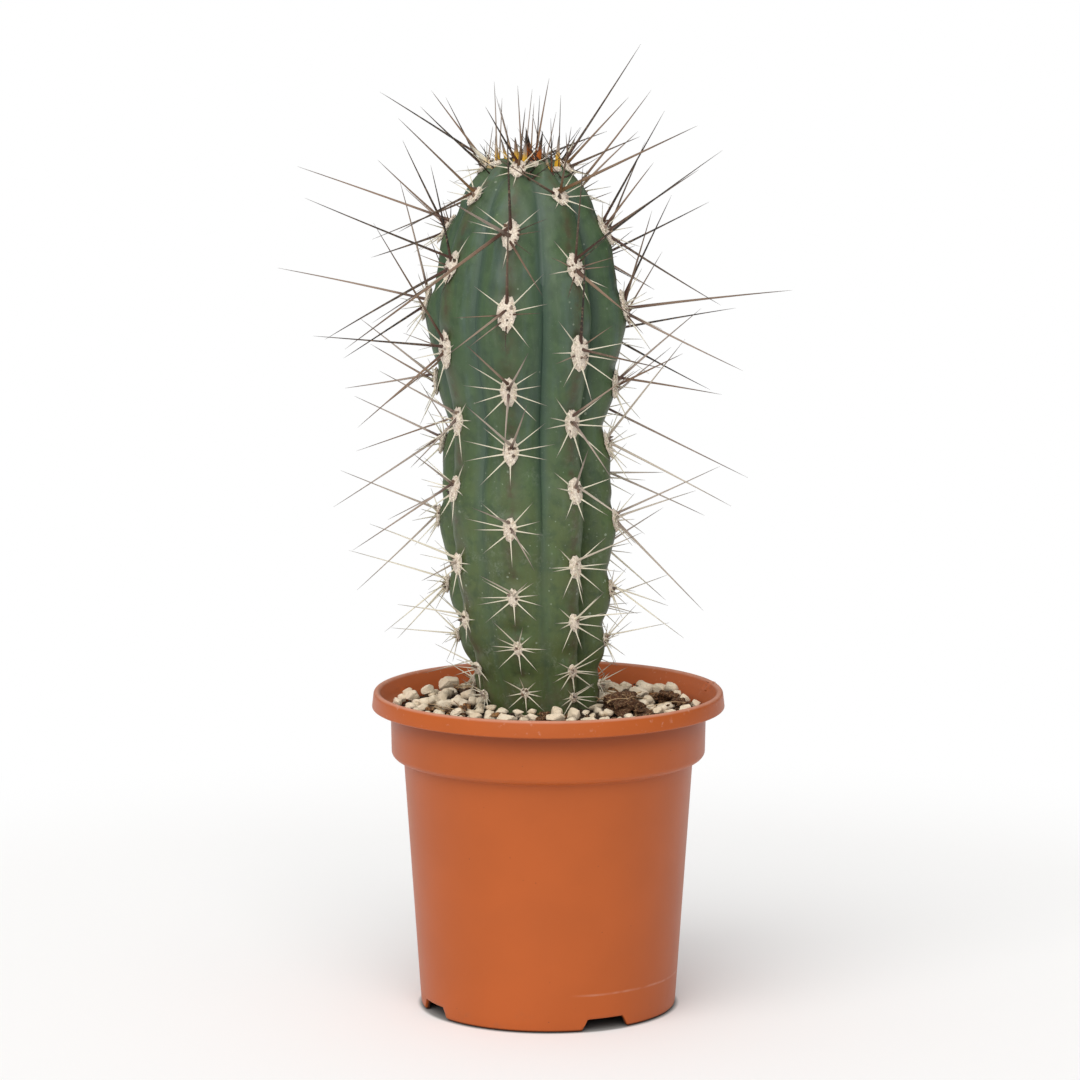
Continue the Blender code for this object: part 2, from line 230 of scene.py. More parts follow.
HIDDEN_LENGTHS = (44, 68)
LOW_HIDDEN_LENGTHS = (20, 44)

# The crown's own spines: place across and behind the middle, length, lean across, lean back
CROWN_SPINES = (
    (-14, -9, 40, 0, 2), (-5, -6, 36, -15, 0), (-13, -6, 34, 3, 6), (-2, -10, 37, -3, 0),
    (-1, -8, 36, 6, 4), (4, -3, 35, 5, 0), (12, -8, 29, 0, 0), (15, -7, 38, 2, 3),
    (9, 2, 27, -12, 0), (20, -2, 20, -4, 0), (-19, 2, 22, 8, 0), (2, 6, 30, 2, 10),
    (-6, 9, 30, -14, 22), (8, 10, 32, 12, 24),
)

# The newest spines, still thick and yellow: place, length, lean, radius and tone
YOUNG_SHOOTS = (
    (-4.2, -16, 12.5, -4, 1.6, 0.7), (-1, -15, 11, 3, 1.4, 0.4), (-0.5, -10, 15, 2, 1.3, 0.95),
    (3, -6, 17, -10, 1.4, 0.95), (5, -5, 16, 9, 1.4, 0.9), (-13.5, -8, 13, -4, 1.3, 0.5),
    (-16, 1, 15, -44, 1.5, 0.15), (-18, 3, 13, -50, 1.2, 0.1), (14.5, -6, 14.5, 3, 1.4, 0.4),
    (17, -2, 13, 24, 1.3, 0.12), (11, -8, 11, -10, 1.0, 0.3), (7, 10, 11, 8, 1.0, 0.5),
    (-9, 12, 11, -14, 1.0, 0.4),
)

# Stones and bark that are nodes: x, y, length, width, height, turn in degrees
STONES = (
    (-48, 46, 12, 11, 8.5, 20), (-59, 33, 9, 7, 6, 60), (-66, 17, 9.5, 8, 6.5, 100),
    (-56, 3, 9, 8, 6, 0), (-43, -26, 9, 8, 5.5, 30), (-20, -40, 12, 7, 5, 8),
    (3, -40, 11, 7, 5.5, 0), (19, -48, 10, 8, 5, 170), (44, 23, 12, 9, 7, 160),
    (54, 37, 11, 9, 6.5, 30), (66, 10, 7, 6, 5.5, 0), (52, -20, 7, 6, 5, 45),
)
BARK = ((35, -20, 17, 15, 11, 10), (56, 16, 12, 8, 6, 25), (63, -3, 10, 7, 5.5, 80))


def radians(degrees):
    return math.radians(degrees)


def outward(azimuth):
    """Level unit vector at an azimuth in degrees."""
    return Vector((math.sin(radians(azimuth)), -math.cos(radians(azimuth)), 0))


def azimuth_of(x, y):
    """Azimuth in degrees of a place seen from the axis."""
    return math.degrees(math.atan2(x, -y))


def between(table, x):
    """Value at x on straight lines through a table of (x, value)."""
    for (x0, y0), (x1, y1) in zip(table, table[1:]):
        if x <= x1:
            return y0 + (y1 - y0) * max(0, x - x0) / (x1 - x0)
    return table[-1][1]


def bell(distance, width):
    return math.exp(-((distance / width) ** 2))


# ---------------------------------------------------------------- settings


def colour_setting(name, description, default):
    return FloatVectorProperty(
        name=name, description=description, default=default, subtype="COLOR", min=0, max=1
    )


class PotSettings(bpy.types.PropertyGroup):
    colour: colour_setting("Colour", "Moulded plastic", (0.445, 0.094, 0.0145))
    # This pale colour is also laid along the lip's top as a painted highlight
    dust_and_highlight: colour_setting("Dust", "Pale dust and scuffs on the plastic", (0.72, 0.5, 0.4))
    steps: IntProperty(name="Steps", description="Steps round the turned pot", default=288)


class StemSettings(bpy.types.PropertyGroup):
    upper: colour_setting("Upper skin", "Waxy blue-green of the young skin", (0.053, 0.097, 0.042))
    lower: colour_setting("Lower skin", "Leaf green of the older skin", (0.082, 0.113, 0.034))
    furrow: colour_setting("Furrow", "Skin down in the furrows", (0.05, 0.088, 0.062))
    crest: colour_setting("Crest", "Browner green along the crests", (0.085, 0.085, 0.034))
    segments: IntProperty(name="Segments", description="Segments across each rib", default=24)
    rings: IntProperty(name="Rings", description="Rings down the stem", default=260)


class SpineSettings(bpy.types.PropertyGroup):
    pale: colour_setting("Pale", "Short spines and the old ones low down", (0.72, 0.66, 0.52))
    dark: colour_setting("Dark", "Long spines near the top", (0.02, 0.014, 0.009))
    young: colour_setting("Young", "Bases of the newest spines", (0.78, 0.44, 0.03))
    felt: colour_setting("Felt", "Wool of the areoles", (0.78, 0.67, 0.54))
    thickness: FloatProperty(
        name="Thickness", description="Radius of a long spine at its base", default=0.68
    )


class DressingSettings(bpy.types.PropertyGroup):
    stone: colour_setting("Stone", "Pale porous gravel", (0.79, 0.67, 0.51))
    bark: colour_setting("Bark", "Shredded bark", (0.11, 0.05, 0.025))
    soil: colour_setting("Soil", "Dark humus", (0.028, 0.017, 0.012))
    pebbles: IntProperty(name="Pebbles", description="Loose stones on the soil", default=260)
    crumbs: IntProperty(name="Crumbs", description="Soil crumbs between the stones", default=1400)


class StageSettings(bpy.types.PropertyGroup):
    floor: colour_setting("Floor", "Pale table", (0.91, 0.91, 0.91))
    sky: FloatProperty(name="Sky", description="Strength of the surrounding light", default=0.9)
    key: FloatProperty(name="Key", description="Strength of the soft key light", default=1.9)
    softness: FloatProperty(
        name="Softness", description="Angle of the key", default=radians(64), subtype="ANGLE"
    )


class CactusSettings(bpy.types.PropertyGroup):
    pot: PointerProperty(type=PotSettings)
    stem: PointerProperty(type=StemSettings)
    spine: PointerProperty(type=SpineSettings)
    dressing: PointerProperty(type=DressingSettings)
    stage: PointerProperty(type=StageSettings)


# ---------------------------------------------------------------- shader helpers


class Value:
    """A node's socket that Python arithmetic turns into Math nodes."""

    def __init__(self, shader, socket):
        self.shader = shader
        self.socket = socket

    def math(self, operation, *others):
        return self.shader.node("ShaderNodeMath", {"operation": operation}, (self, *others))

    def __add__(self, other):
        return self.math("ADD", other)

    __radd__ = __add__

    def __sub__(self, other):
        return self.math("SUBTRACT", other)

    def __rsub__(self, other):
        return self.shader.node("ShaderNodeMath", {"operation": "SUBTRACT"}, (other, self))

    def __mul__(self, other):
        return self.math("MULTIPLY", other)

    __rmul__ = __mul__

    def __pow__(self, other):
        return self.math("POWER", other)

    def clamp(self):
        return self.shader.node(
            "ShaderNodeMath", {"operation": "MULTIPLY", "use_clamp": True}, (self, 1.0)
        )

    def ramp(self, low, high):
        """0 below low, 1 above high and smooth between."""
        return self.shader.node(
            "ShaderNodeMapRange",
            {"interpolation_type": "SMOOTHSTEP"},
            {"Value": self, "From Min": low, "From Max": high},
        )


class Shader:
    """The nodes of a material or of the world, and the few calls that build them."""

    def __init__(self, name, kind="materials"):
        self.owner = getattr(bpy.data, kind).new(name)
        self.owner.use_nodes = True
        self.tree = self.owner.node_tree
        self.surface = self.tree.nodes.get("Principled BSDF")
        self.place = self.node("ShaderNodeTexCoord", output="Object")
        self.colour = None

    def link(self, value, socket):
        if isinstance(value, Value):
            self.tree.links.new(value.socket, socket)
        elif value is not None and socket.type == "RGBA":
            socket.default_value = (*tuple(value)[:3], 1)
        elif value is not None:
            socket.default_value = value

    def node(self, kind, settings=None, inputs=(), output=0):
        made = self.tree.nodes.new(kind)
        for name, value in (settings or {}).items():
            setattr(made, name, value)
        pairs = inputs.items() if isinstance(inputs, dict) else enumerate(inputs)
        for key, value in pairs:
            self.link(value, made.inputs[key])
        return Value(self, made.outputs[output])

    def mix(self, factor, first, second, blend="MIX"):
        """Colour mix: the first colour at factor 0, the second at 1."""
        made = self.tree.nodes.new("ShaderNodeMix")
        made.data_type = "RGBA"
        made.blend_type = blend
        self.link(factor, made.inputs[0])
        self.link(first, made.inputs[6])
        self.link(second, made.inputs[7])
        return Value(self, made.outputs[2])

    def over(self, factor, colour, blend="MIX"):
        """Lay a colour over what is there so far."""
        self.colour = self.mix(factor, self.colour, colour, blend)

    def stretched(self, x=1, y=1, z=1):
        """Object coordinates with a pattern's own scale on each axis."""
        return self.node(
            "ShaderNodeMapping", None, {"Vector": self.place, "Scale": Vector((x, y, z))}
        )

    def noise(self, size, detail=3, rough=0.5, place=None):
        """Noise from 0 to 1 with features of about this size in millimetres."""
        return self.node(
            "ShaderNodeTexNoise",
            None,
            {
                "Vector": place or self.place,
                "Scale": 1 / (size * MM),
                "Detail": detail,
                "Roughness": rough,
            },
        )

    def cells(self, size, feature="F1", output="Distance", place=None):
        return self.node(
            "ShaderNodeTexVoronoi",
            {"feature": feature},
            {"Vector": place or self.place, "Scale": 1 / (size * MM)},
            output,
        )

    def specks(self, spacing, radius, share=0.5):
        """1 inside scattered round specks, on a share of the cells."""
        distance = self.cells(spacing)
        pick = self.node("ShaderNodeSeparateColor", None, (self.cells(spacing, output="Color"),))
        return (1 - distance.ramp(radius / spacing * 0.6, radius / spacing)) * (
            1 - pick.ramp(share - 0.02, share + 0.02)
        )

    def axis(self, name):
        """Distance along an axis from the middle of the pot's foot, in millimetres."""
        return self.node("ShaderNodeSeparateXYZ", None, (self.place,), name) * (1 / MM)

    def distance(self):
        """Distance from the middle of the pot's foot, in millimetres."""
        length = {"operation": "LENGTH"}
        return self.node("ShaderNodeVectorMath", length, (self.place,), "Value") * (1 / MM)

    def attribute(self, name):
        return self.node("ShaderNodeAttribute", {"attribute_name": name}, output="Fac")

    def bump(self, height, distance, strength=1.0, under=None):
        return self.node(
            "ShaderNodeBump",
            None,
            {"Height": height, "Distance": distance * MM, "Strength": strength, "Normal": under},
            "Normal",
        )

    def finish(self, roughness, normal=None, **constants):
        self.link(self.colour, self.surface.inputs["Base Color"])
        self.link(roughness, self.surface.inputs["Roughness"])
        if normal:
            self.link(normal, self.surface.inputs["Normal"])
        for name, value in constants.items():
            socket = self.surface.inputs[name.replace("_", " ").title().replace("Ior", "IOR")]
            self.link(value, socket)
        return self.owner


# ---------------------------------------------------------------- materials


def terracotta_plastic(pot):
    """Moulded plastic: satin, with a mould line, dark specks and a rubbed lip; a painted highlight
    along the lip's top, painted shade under the lip, and a dark foot of painted shade.
    """
    s = Shader("terracotta_plastic")
    z = s.axis("Z")
    clouds = s.noise(34, 4)
    grain = s.noise(1.2, 5, 0.6)
    s.colour = s.mix(clouds.ramp(0.3, 0.7) * 0.5, pot.colour, tuple(c * 0.88 for c in pot.colour))
    specks = s.specks(11, 0.55, 0.24) + s.specks(6.3, 0.36, 0.2) + s.specks(3.1, 0.2, 0.12) * 0.7
    s.over(specks.clamp() * s.noise(18, 3).ramp(0.38, 0.55) * 0.7, (0.13, 0.03, 0.012))
    nicks = s.specks(15, 0.42, 0.16) * s.noise(1.5, 3).ramp(0.45, 0.6)
    s.over(nicks * 0.35, (0.75, 0.45, 0.3))
    dirt = s.noise(7, 5, 0.65).ramp(0.55, 0.8) * (1 - z.ramp(1, 14))
    s.over(dirt * 0.3, (0.2, 0.09, 0.05))
    wave = z + (s.noise(60, 2) - 0.5) * 3
    line = wave.ramp(17.4, 18) * (1 - wave.ramp(18.3, 19)) * s.noise(22, 3).ramp(0.42, 0.6)
    s.over(line * s.axis("X").ramp(8, 30) * 0.28, pot.dust_and_highlight)
    # Painted highlight: the top of the lip is paler, in the dust colour
    lip = z.ramp(POT_HEIGHT - 1.4, POT_HEIGHT - 0.2) * (0.35 + s.noise(6, 4) * 0.5)
    rubbed = z.ramp(LIP_BOTTOM, LIP_BOTTOM + 2) * s.noise(3.5, 4, 0.6).ramp(0.6, 0.74)
    s.over((lip * 0.5 + rubbed * 0.22).clamp(), pot.dust_and_highlight)
    # Painted shade: the band of collar just under the lip's overhang is darkened
    shade = z.ramp(LIP_BOTTOM - 13, LIP_BOTTOM - 2) * (1 - z.ramp(LIP_BOTTOM - 1, LIP_BOTTOM + 1))
    s.over(shade * 0.42, (0.24, 0.045, 0.01))
    far = s.distance()
    # Painted shade: the hollow inside the foot, up to the notches' height, and the foot's bottom
    # edge are darkened nearly to black
    within = 1 - far.ramp(FOOT_RADIUS - 1.6, FOOT_RADIUS - 0.6)
    foot_painted_shade = within * (1 - z.ramp(NOTCH_HEIGHT, NOTCH_HEIGHT + 1)) + 1 - z.ramp(0.5, 1.5)
    s.over(foot_painted_shade.clamp() * 0.9, (0.03, 0.011, 0.006))
    roughness = 0.33 + clouds * 0.1 + grain * 0.06 + rubbed * 0.12 + dirt * 0.2
    relief = s.bump(grain, 0.035, 0.5, s.bump(s.noise(24, 2), 0.35, 0.3))
    return s.finish(roughness, relief, specular_ior_level=0.32)


def stem_skin(stem):
    """Waxy skin: blue-green above, leaf green below, with pores, pale dots and flecks."""
    s = Shader("stem_skin")
    z = s.axis("Z")
    depth = s.attribute("furrow")
    crest = s.attribute("crest")
    young = (z + s.noise(40, 3) * 60 - 30).ramp(205, 330)
    s.colour = s.mix(young, stem.lower, stem.upper)
    mottle = s.noise(13, 5, 0.6)
    s.over(mottle.ramp(0.4, 0.7) * 0.5, (0.086, 0.146, 0.054))
    s.over(s.noise(6, 5, 0.6).ramp(0.46, 0.7) * 0.55, (0.026, 0.054, 0.024))
    strokes = s.noise(2.6, 4, 0.6, s.stretched(1, 1, 0.12))
    s.over(strokes.ramp(0.5, 0.72) * 0.35, (0.1, 0.145, 0.085))
    bands = s.noise(9, 3, 0.5, s.stretched(1, 1, 0.1))
    s.over(bands.ramp(0.5, 0.72) * young * 0.55, (0.09, 0.14, 0.125))
    deep = s.noise(6, 3, 0.5, s.stretched(1, 1, 0.07))
    s.over(deep.ramp(0.55, 0.72) * young * 0.5, (0.028, 0.056, 0.045))
    s.over(s.noise(20, 4, 0.6).ramp(0.42, 0.66) * 0.45, (0.6, 0.66, 0.64), "MULTIPLY")
    down = z.ramp(190, 280)
    s.over(depth.ramp(0.35, 0.9) * (0.25 + down * 0.5), stem.furrow)
    # Painted shade: a dark line along the bottom of each furrow, stronger higher up
    s.over(depth.ramp(0.93, 1.0) * down * 0.4, (0.02, 0.04, 0.035))
    s.over(crest * s.noise(8, 4).ramp(0.35, 0.6) * 0.5, stem.crest)
    ridge = crest**5 * s.noise(5, 4, 0.6).ramp(0.42, 0.6)
    s.over(ridge * 0.7, (0.07, 0.05, 0.025))
    top = z.ramp(385, 408)
    s.over(top * 0.3, (0.1, 0.14, 0.07))
    pores = s.specks(1.4, 0.24, 0.7)
    s.over(pores * 0.2, (0.22, 0.29, 0.2))
    low = 1 - z.ramp(200, 330)
    dots = s.specks(3.2, 0.42, 0.3) + s.specks(6.5, 0.8, 0.24)
    s.over((dots * low).clamp() * 0.6, (0.34, 0.4, 0.3))
    haze = s.noise(10, 5, 0.7).ramp(0.5, 0.7) * s.noise(1.6, 4, 0.7).ramp(0.42, 0.6) * low
    s.over(haze * 0.35, (0.27, 0.31, 0.23))
    flecks = s.specks(5.2, 0.6, 0.34) + s.specks(8.5, 1.0, 0.2)
    s.over((flecks * s.noise(2, 4).ramp(0.38, 0.6)).clamp() * 0.45, (0.38, 0.42, 0.33))
    cork = (1 - z.ramp(150, 172)) * s.noise(6, 5, 0.65).ramp(0.45, 0.62)
    s.over(cork * 0.4, (0.16, 0.14, 0.07))
    roughness = 0.42 + mottle * 0.16 + flecks.clamp() * 0.2 + cork * 0.2
    fine = s.noise(1.2, 4, 0.6)
    folds = s.noise(7, 3, 0.5, s.stretched(1, 1, 0.5))
    relief = s.bump(fine + flecks * 0.5, 0.09, 0.5, s.bump(folds, 0.9, 0.4))
    return s.finish(
        roughness, relief, specular_ior_level=0.42, coat_weight=0.06, coat_roughness=0.45,
        subsurface_weight=0.04, subsurface_radius=Vector((0.4, 1.0, 0.3)), subsurface_scale=0.002,
    )


def felt(spine):
    """Cream wool with brown stubs of lost spines showing through."""
    s = Shader("areole_felt")
    age = s.attribute("age")
    fibres = s.noise(0.8, 5, 0.7)
    s.colour = s.mix(fibres.ramp(0.3, 0.7) * 0.6, spine.felt, (0.84, 0.78, 0.68))
    # Painted shade: the crevices between the wool's tufts are darkened
    crevices = (1 - s.cells(1.5, "DISTANCE_TO_EDGE").ramp(0.0, 0.14)) * fibres.ramp(0.35, 0.6)
    s.over(crevices * 0.55, (0.3, 0.19, 0.13))
    stubs = s.specks(3.1, 0.75, 0.3)
    s.over(stubs * 0.9, (0.075, 0.028, 0.014))
    stains = s.noise(2.4, 4, 0.6).ramp(0.5, 0.68)
    s.over(stains * (0.25 + age * 0.4), (0.42, 0.26, 0.16))
    relief = s.bump(fibres - crevices * 0.5 - stubs * 0.5, 0.35, 0.9)
    return s.finish(0.95, relief, sheen_weight=0.2, sheen_roughness=0.6)


def horn(spine):
    """Spines: ivory, taupe or nearly black by tone, with a brown base and a dark tip."""
    s = Shader("spine_horn")
    along = s.attribute("along")
    tone = s.attribute("tone")
    streaks = s.noise(1.3, 3, 0.6)
    wander = along + (s.noise(5, 2) - 0.5) * 0.2
    s.colour = s.mix(tone.ramp(0.1, 0.42), spine.pale, (0.36, 0.29, 0.24))
    s.over(tone.ramp(0.5, 0.7), (0.25, 0.16, 0.105))
    s.over(tone.ramp(0.64, 0.94), spine.dark)
    s.over(streaks.ramp(0.5, 0.66) * tone.ramp(0.6, 0.9) * 0.42, (0.36, 0.24, 0.15))
    brown = (1 - wander.ramp(0.06, 0.26)) * tone.ramp(0.22, 0.5)
    s.over(brown * 0.88, (0.06, 0.022, 0.012))
    s.over(wander.ramp(0.58, 0.96) * 0.78, (0.06, 0.047, 0.042))
    s.over((1 - along.ramp(0.0, 0.1)) * (1 - tone.ramp(0.1, 0.3)) * 0.35, (0.45, 0.3, 0.17))
    fresh = s.attribute("yellow")
    yellow = fresh * (1 - along.ramp(fresh * 0.3, fresh * 0.3 + 0.35))
    amber = s.mix(tone.ramp(0.75, 0.9), spine.young, (0.6, 0.16, 0.022))
    s.over(yellow, amber)
    return s.finish(0.5, s.bump(streaks, 0.05, 0.4), specular_ior_level=0.4)


def gravel(dressing):
    """Pale porous stone, each with its own tint, pits darkened with painted shade and darker
    cracks.
    """
    s = Shader("pale_gravel")
    tint = s.attribute("tint")
    grain = s.noise(1.1, 6, 0.65)
    s.colour = s.mix(tint, dressing.stone, (0.6, 0.48, 0.33))
    s.over(s.noise(3.4, 4).ramp(0.45, 0.7) * 0.35, (0.82, 0.74, 0.6))
    s.over(grain.ramp(0.55, 0.72) * 0.35, (0.42, 0.31, 0.19))
    cracks = 1 - s.cells(3.0, "DISTANCE_TO_EDGE").ramp(0.0, 0.05)
    s.over(cracks * s.noise(4, 3).ramp(0.5, 0.62) * 0.5, (0.24, 0.17, 0.1))
    # Painted shade: the pits are darkened
    pits = s.specks(1.7, 0.34, 0.4)
    s.over(pits * 0.4, (0.25, 0.18, 0.11))
    relief = s.bump(grain - pits * 0.5 - cracks * 0.3, 0.22, 0.8)
    return s.finish(0.9, relief, specular_ior_level=0.3)


def shredded_bark(dressing):
    """Brown fibrous bark with pale torn strands."""
    s = Shader("shredded_bark")
    tint = s.attribute("tint")
    strands = s.noise(1.0, 6, 0.7, s.stretched(1, 0.3, 1))
    s.colour = s.mix(strands.ramp(0.35, 0.6), (0.035, 0.017, 0.01), dressing.bark)
    s.over(tint.ramp(0.3, 1) * strands.ramp(0.42, 0.6), (0.42, 0.2, 0.07))
    edges = 1 - s.cells(3.0, "DISTANCE_TO_EDGE", place=s.stretched(1, 1, 2)).ramp(0.0, 0.1)
    s.over(edges * s.noise(1.5, 3).ramp(0.4, 0.6) * 0.6, (0.5, 0.32, 0.16))
    flakes = s.specks(1.5, 0.4, 0.3)
    s.over(flakes * 0.5, (0.4, 0.28, 0.16))
    relief = s.bump(strands + flakes * 0.4 + edges * 0.5, 0.5, 0.9)
    return s.finish(0.92, relief, specular_ior_level=0.25)


def humus(dressing):
    """Dark crumbly soil with lighter fibres and mineral grains."""
    s = Shader("humus")
    crumbs = s.noise(1.4, 6, 0.7)
    s.colour = s.mix(crumbs.ramp(0.4, 0.7), dressing.soil, (0.1, 0.062, 0.038))
    grains = s.specks(2.6, 0.5, 0.22)
    s.over(grains * 0.7, (0.42, 0.34, 0.24))
    return s.finish(0.97, s.bump(crumbs + grains, 0.6, 1.0), specular_ior_level=0.2)


def dry_root():
    """Straw and thin roots, paler on one side."""
    s = Shader("dry_root")
    streaks = s.noise(1.2, 4, 0.6)
    s.colour = s.mix(s.attribute("tint"), (0.5, 0.34, 0.17), (0.2, 0.1, 0.05))
    s.over(streaks.ramp(0.4, 0.7) * 0.5, (0.68, 0.54, 0.35))
    return s.finish(0.8, s.bump(streaks, 0.1, 0.6))


def pale_table(stage):
    """A pale matt floor with a painted contact shadow under and round the pot's foot, that fades to
    the white of the surroundings.
    """
    s = Shader("pale_table")
    far = s.distance()
    # Painted contact shadow: the floor is darkened under and just round the pot's foot
    under = 1 - far.ramp(FOOT_RADIUS - 0.5, FOOT_RADIUS + 2.5)
    s.link(s.mix(under * 0.85, stage.floor, (0.2, 0.19, 0.18)), s.surface.inputs["Base Color"])
    s.surface.inputs["Roughness"].default_value = 0.8
    s.surface.inputs["Specular IOR Level"].default_value = 0.1
    white = s.node("ShaderNodeEmission", None, {"Color": (1, 1, 1), "Strength": 1.0})
    output = s.tree.nodes["Material Output"]
    principled = Value(s, s.surface.outputs[0])
    blend = s.node("ShaderNodeMixShader", None, (far.ramp(*FLOOR_FADE), principled, white))
    s.tree.links.new(blend.socket, output.inputs["Surface"])
    return s.owner


# ---------------------------------------------------------------- mesh helpers


# Edges sharper than this, in degrees, stay hard
SMOOTH = 80
SPINE_SMOOTH = 60
POT_SMOOTH = 40


def finish_piece(name, bm, materials, smooth=SMOOTH):
    """Turn a bmesh in millimetres into a piece that rides with the plant."""
    bmesh.ops.scale(bm, vec=(MM, MM, MM), verts=bm.verts)
    mesh = bpy.data.meshes.new(name)
    bm.to_mesh(mesh)
    bm.free()
    for made in materials:
        mesh.materials.append(made)
    mesh.shade_smooth()
    mesh.set_sharp_from_angle(angle=radians(smooth))
    obj = bpy.data.objects.new(name, mesh)
    bpy.context.scene.collection.objects.link(obj)
    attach(obj, BODY)
    return obj


def template(make, **settings):
    """A mesh made once with a bmesh operator, to be copied many times."""
    bm = bmesh.new()
    make(bm, **settings)
    mesh = bpy.data.meshes.new("template")
    bm.to_mesh(mesh)
    bm.free()
    return mesh


def append(bm, mesh):
    """Add a template to a bmesh and return its new vertices."""
    before = len(bm.verts)
    bm.from_mesh(mesh)
    bm.verts.ensure_lookup_table()
    return bm.verts[before:]


def turned(profile, steps):
    """Spin a profile of (radius, height) into a closed shell."""
    bm = bmesh.new()
    verts = [bm.verts.new((r, 0, z)) for r, z in profile]
    edges = [bm.edges.new(pair) for pair in zip(verts, verts[1:])]
    bmesh.ops.spin(
        bm, geom=verts + edges, cent=(0, 0, 0), axis=(0, 0, 1), angle=2 * math.pi,
        steps=steps, use_merge=True,
    )
    bmesh.ops.remove_doubles(bm, verts=bm.verts, dist=0.001)
    bmesh.ops.recalc_face_normals(bm, faces=bm.faces)
    return bm


def rounded(corners, radius, steps=4):
    """Replace each inner corner of a profile with a small arc of this reach."""
    made = [corners[0]]
    for before, at, after in zip(corners, corners[1:], corners[2:]):
        p, c, q = Vector(before), Vector(at), Vector(after)
        reach = min(radius, (p - c).length * 0.45, (q - c).length * 0.45)
        a = c + (p - c).normalized() * reach
        b = c + (q - c).normalized() * reach
        for i in range(steps + 1):
            f = i / steps
            made.append(tuple(a * (1 - f) ** 2 + c * 2 * f * (1 - f) + b * f**2))
    return [*made, corners[-1]]


# ---------------------------------------------------------------- pot


def body_radius(z):
    return FOOT_RADIUS + (BODY_TOP_RADIUS - FOOT_RADIUS) * z / BODY_TOP


def pot_profile():
    """From the inside of the floor, up the inside, over the lip and down the outside."""
    floor = FLOOR_HEIGHT + WALL
    inner_foot = FOOT_RADIUS - FOOT_WIDTH
    corners = [
        (0, WALL),
        (PAD_RADIUS - 2 * WALL, WALL),
        (PAD_RADIUS - WALL, floor),
        (body_radius(floor) - WALL - 1.5, floor),
        (body_radius(floor) - WALL, floor + 1.5),
        (BODY_TOP_RADIUS - WALL, BODY_TOP + WALL),
        (COLLAR_RADIUS - WALL, COLLAR_BOTTOM + WALL),
        (COLLAR_TOP_RADIUS - WALL, LIP_BOTTOM - 2),
        (COLLAR_TOP_RADIUS + 2.2, POT_HEIGHT - 4.5),
        (LIP_INNER_RADIUS + 1.8, POT_HEIGHT - 0.7),
        (LIP_INNER_RADIUS + 2.8, POT_HEIGHT),
        (LIP_TOP_RADIUS - 0.8, POT_HEIGHT),
        (LIP_TOP_RADIUS, POT_HEIGHT - 1.0),
        (POT_RADIUS, LIP_BOTTOM + 0.5),
        (POT_RADIUS - 0.4, LIP_BOTTOM),
        (POT_RADIUS - WALL, LIP_BOTTOM),
        (POT_RADIUS - WALL - 0.6, POT_HEIGHT - 2.6),
        (LIP_TOP_RADIUS - 2, POT_HEIGHT - 2.6),
        (COLLAR_TOP_RADIUS + 3.6, POT_HEIGHT - 5.6),
        (COLLAR_TOP_RADIUS, LIP_BOTTOM - 1.5),
        (COLLAR_RADIUS, COLLAR_BOTTOM),
        (COLLAR_RADIUS - 1.6, COLLAR_BOTTOM - 1.8),
        (BODY_TOP_RADIUS, BODY_TOP),
        (body_radius(40), 40),
        (body_radius(11), 11),
        (body_radius(8), 8),
        (FOOT_RADIUS, 1.1),
        (FOOT_RADIUS - 0.9, 0),
        (inner_foot, 0),
        (inner_foot + 0.4, FLOOR_HEIGHT),
        (PAD_RADIUS, FLOOR_HEIGHT),
        (PAD_RADIUS - WALL, 0),
        (0, 0),
    ]
    return rounded(corners, 1.1)


def notch_rise(azimuth):
    """Height of the foot's lower edge: four notches and shallow steps between them."""
    spacing = 360 / NOTCHES
    turn = (azimuth - NOTCH_AZIMUTH + spacing / 2) % spacing - spacing / 2
    aside = abs(radians(turn)) * FOOT_RADIUS
    slope = (NOTCH_WIDTH / 2 + NOTCH_SLOPE / 2 - aside) / NOTCH_SLOPE
    low, high = FOOT_STEP
    step = FOOT_STEP_RISE if low < aside < high else 0.0
    return max(NOTCH_HEIGHT * min(1, max(0, slope)), step)


class POTTED_CACTUS_OT_pot(bpy.types.Operator):
    """Turn the pot, cut its notches and give it moulded plastic"""

    bl_idname = "potted_cactus.pot"
    bl_label = "Pot"

    def execute(self, context):
        settings = context.scene.potted_cactus.pot
        bm = turned(pot_profile(), settings.steps)
        for v in bm.verts:
            if v.co.xy.length > FOOT_RADIUS - FOOT_WIDTH - 0.5 and v.co.z < NOTCH_HEIGHT:
                v.co.z = max(v.co.z, notch_rise(azimuth_of(v.co.x, v.co.y)))
            elif v.co.z > POT_HEIGHT - 4 and v.co.xy.length < LIP_TOP_RADIUS - 1:
                aside = azimuth_of(v.co.x, v.co.y) - CHIP_AZIMUTH
                v.co.xy *= 1 + CHIP_DEPTH * noise.noise(v.co * 0.9) * bell(aside, CHIP_WIDTH)
        made = terracotta_plastic(settings)
        pot = finish_piece("nursery_pot", bm, [made], POT_SMOOTH)
        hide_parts("pot")
        return {"FINISHED"}


# ---------------------------------------------------------------- stem


def stem_centre(z):
    return LEAN_TOP + LEAN * math.exp(-(max(z, STUB_TOP) - STUB_TOP) / LEAN_SCALE)


def crest_share(rib):
    """1 on the middle of a rib and 0 in a furrow."""
    return abs(math.cos(math.pi * rib))


def crown_hump(near, far):
    """The ribs rise and the furrows dip round the growing point."""
    return CROWN_HUMP * (near**2 - 0.68) * bell(far - 15, 7)


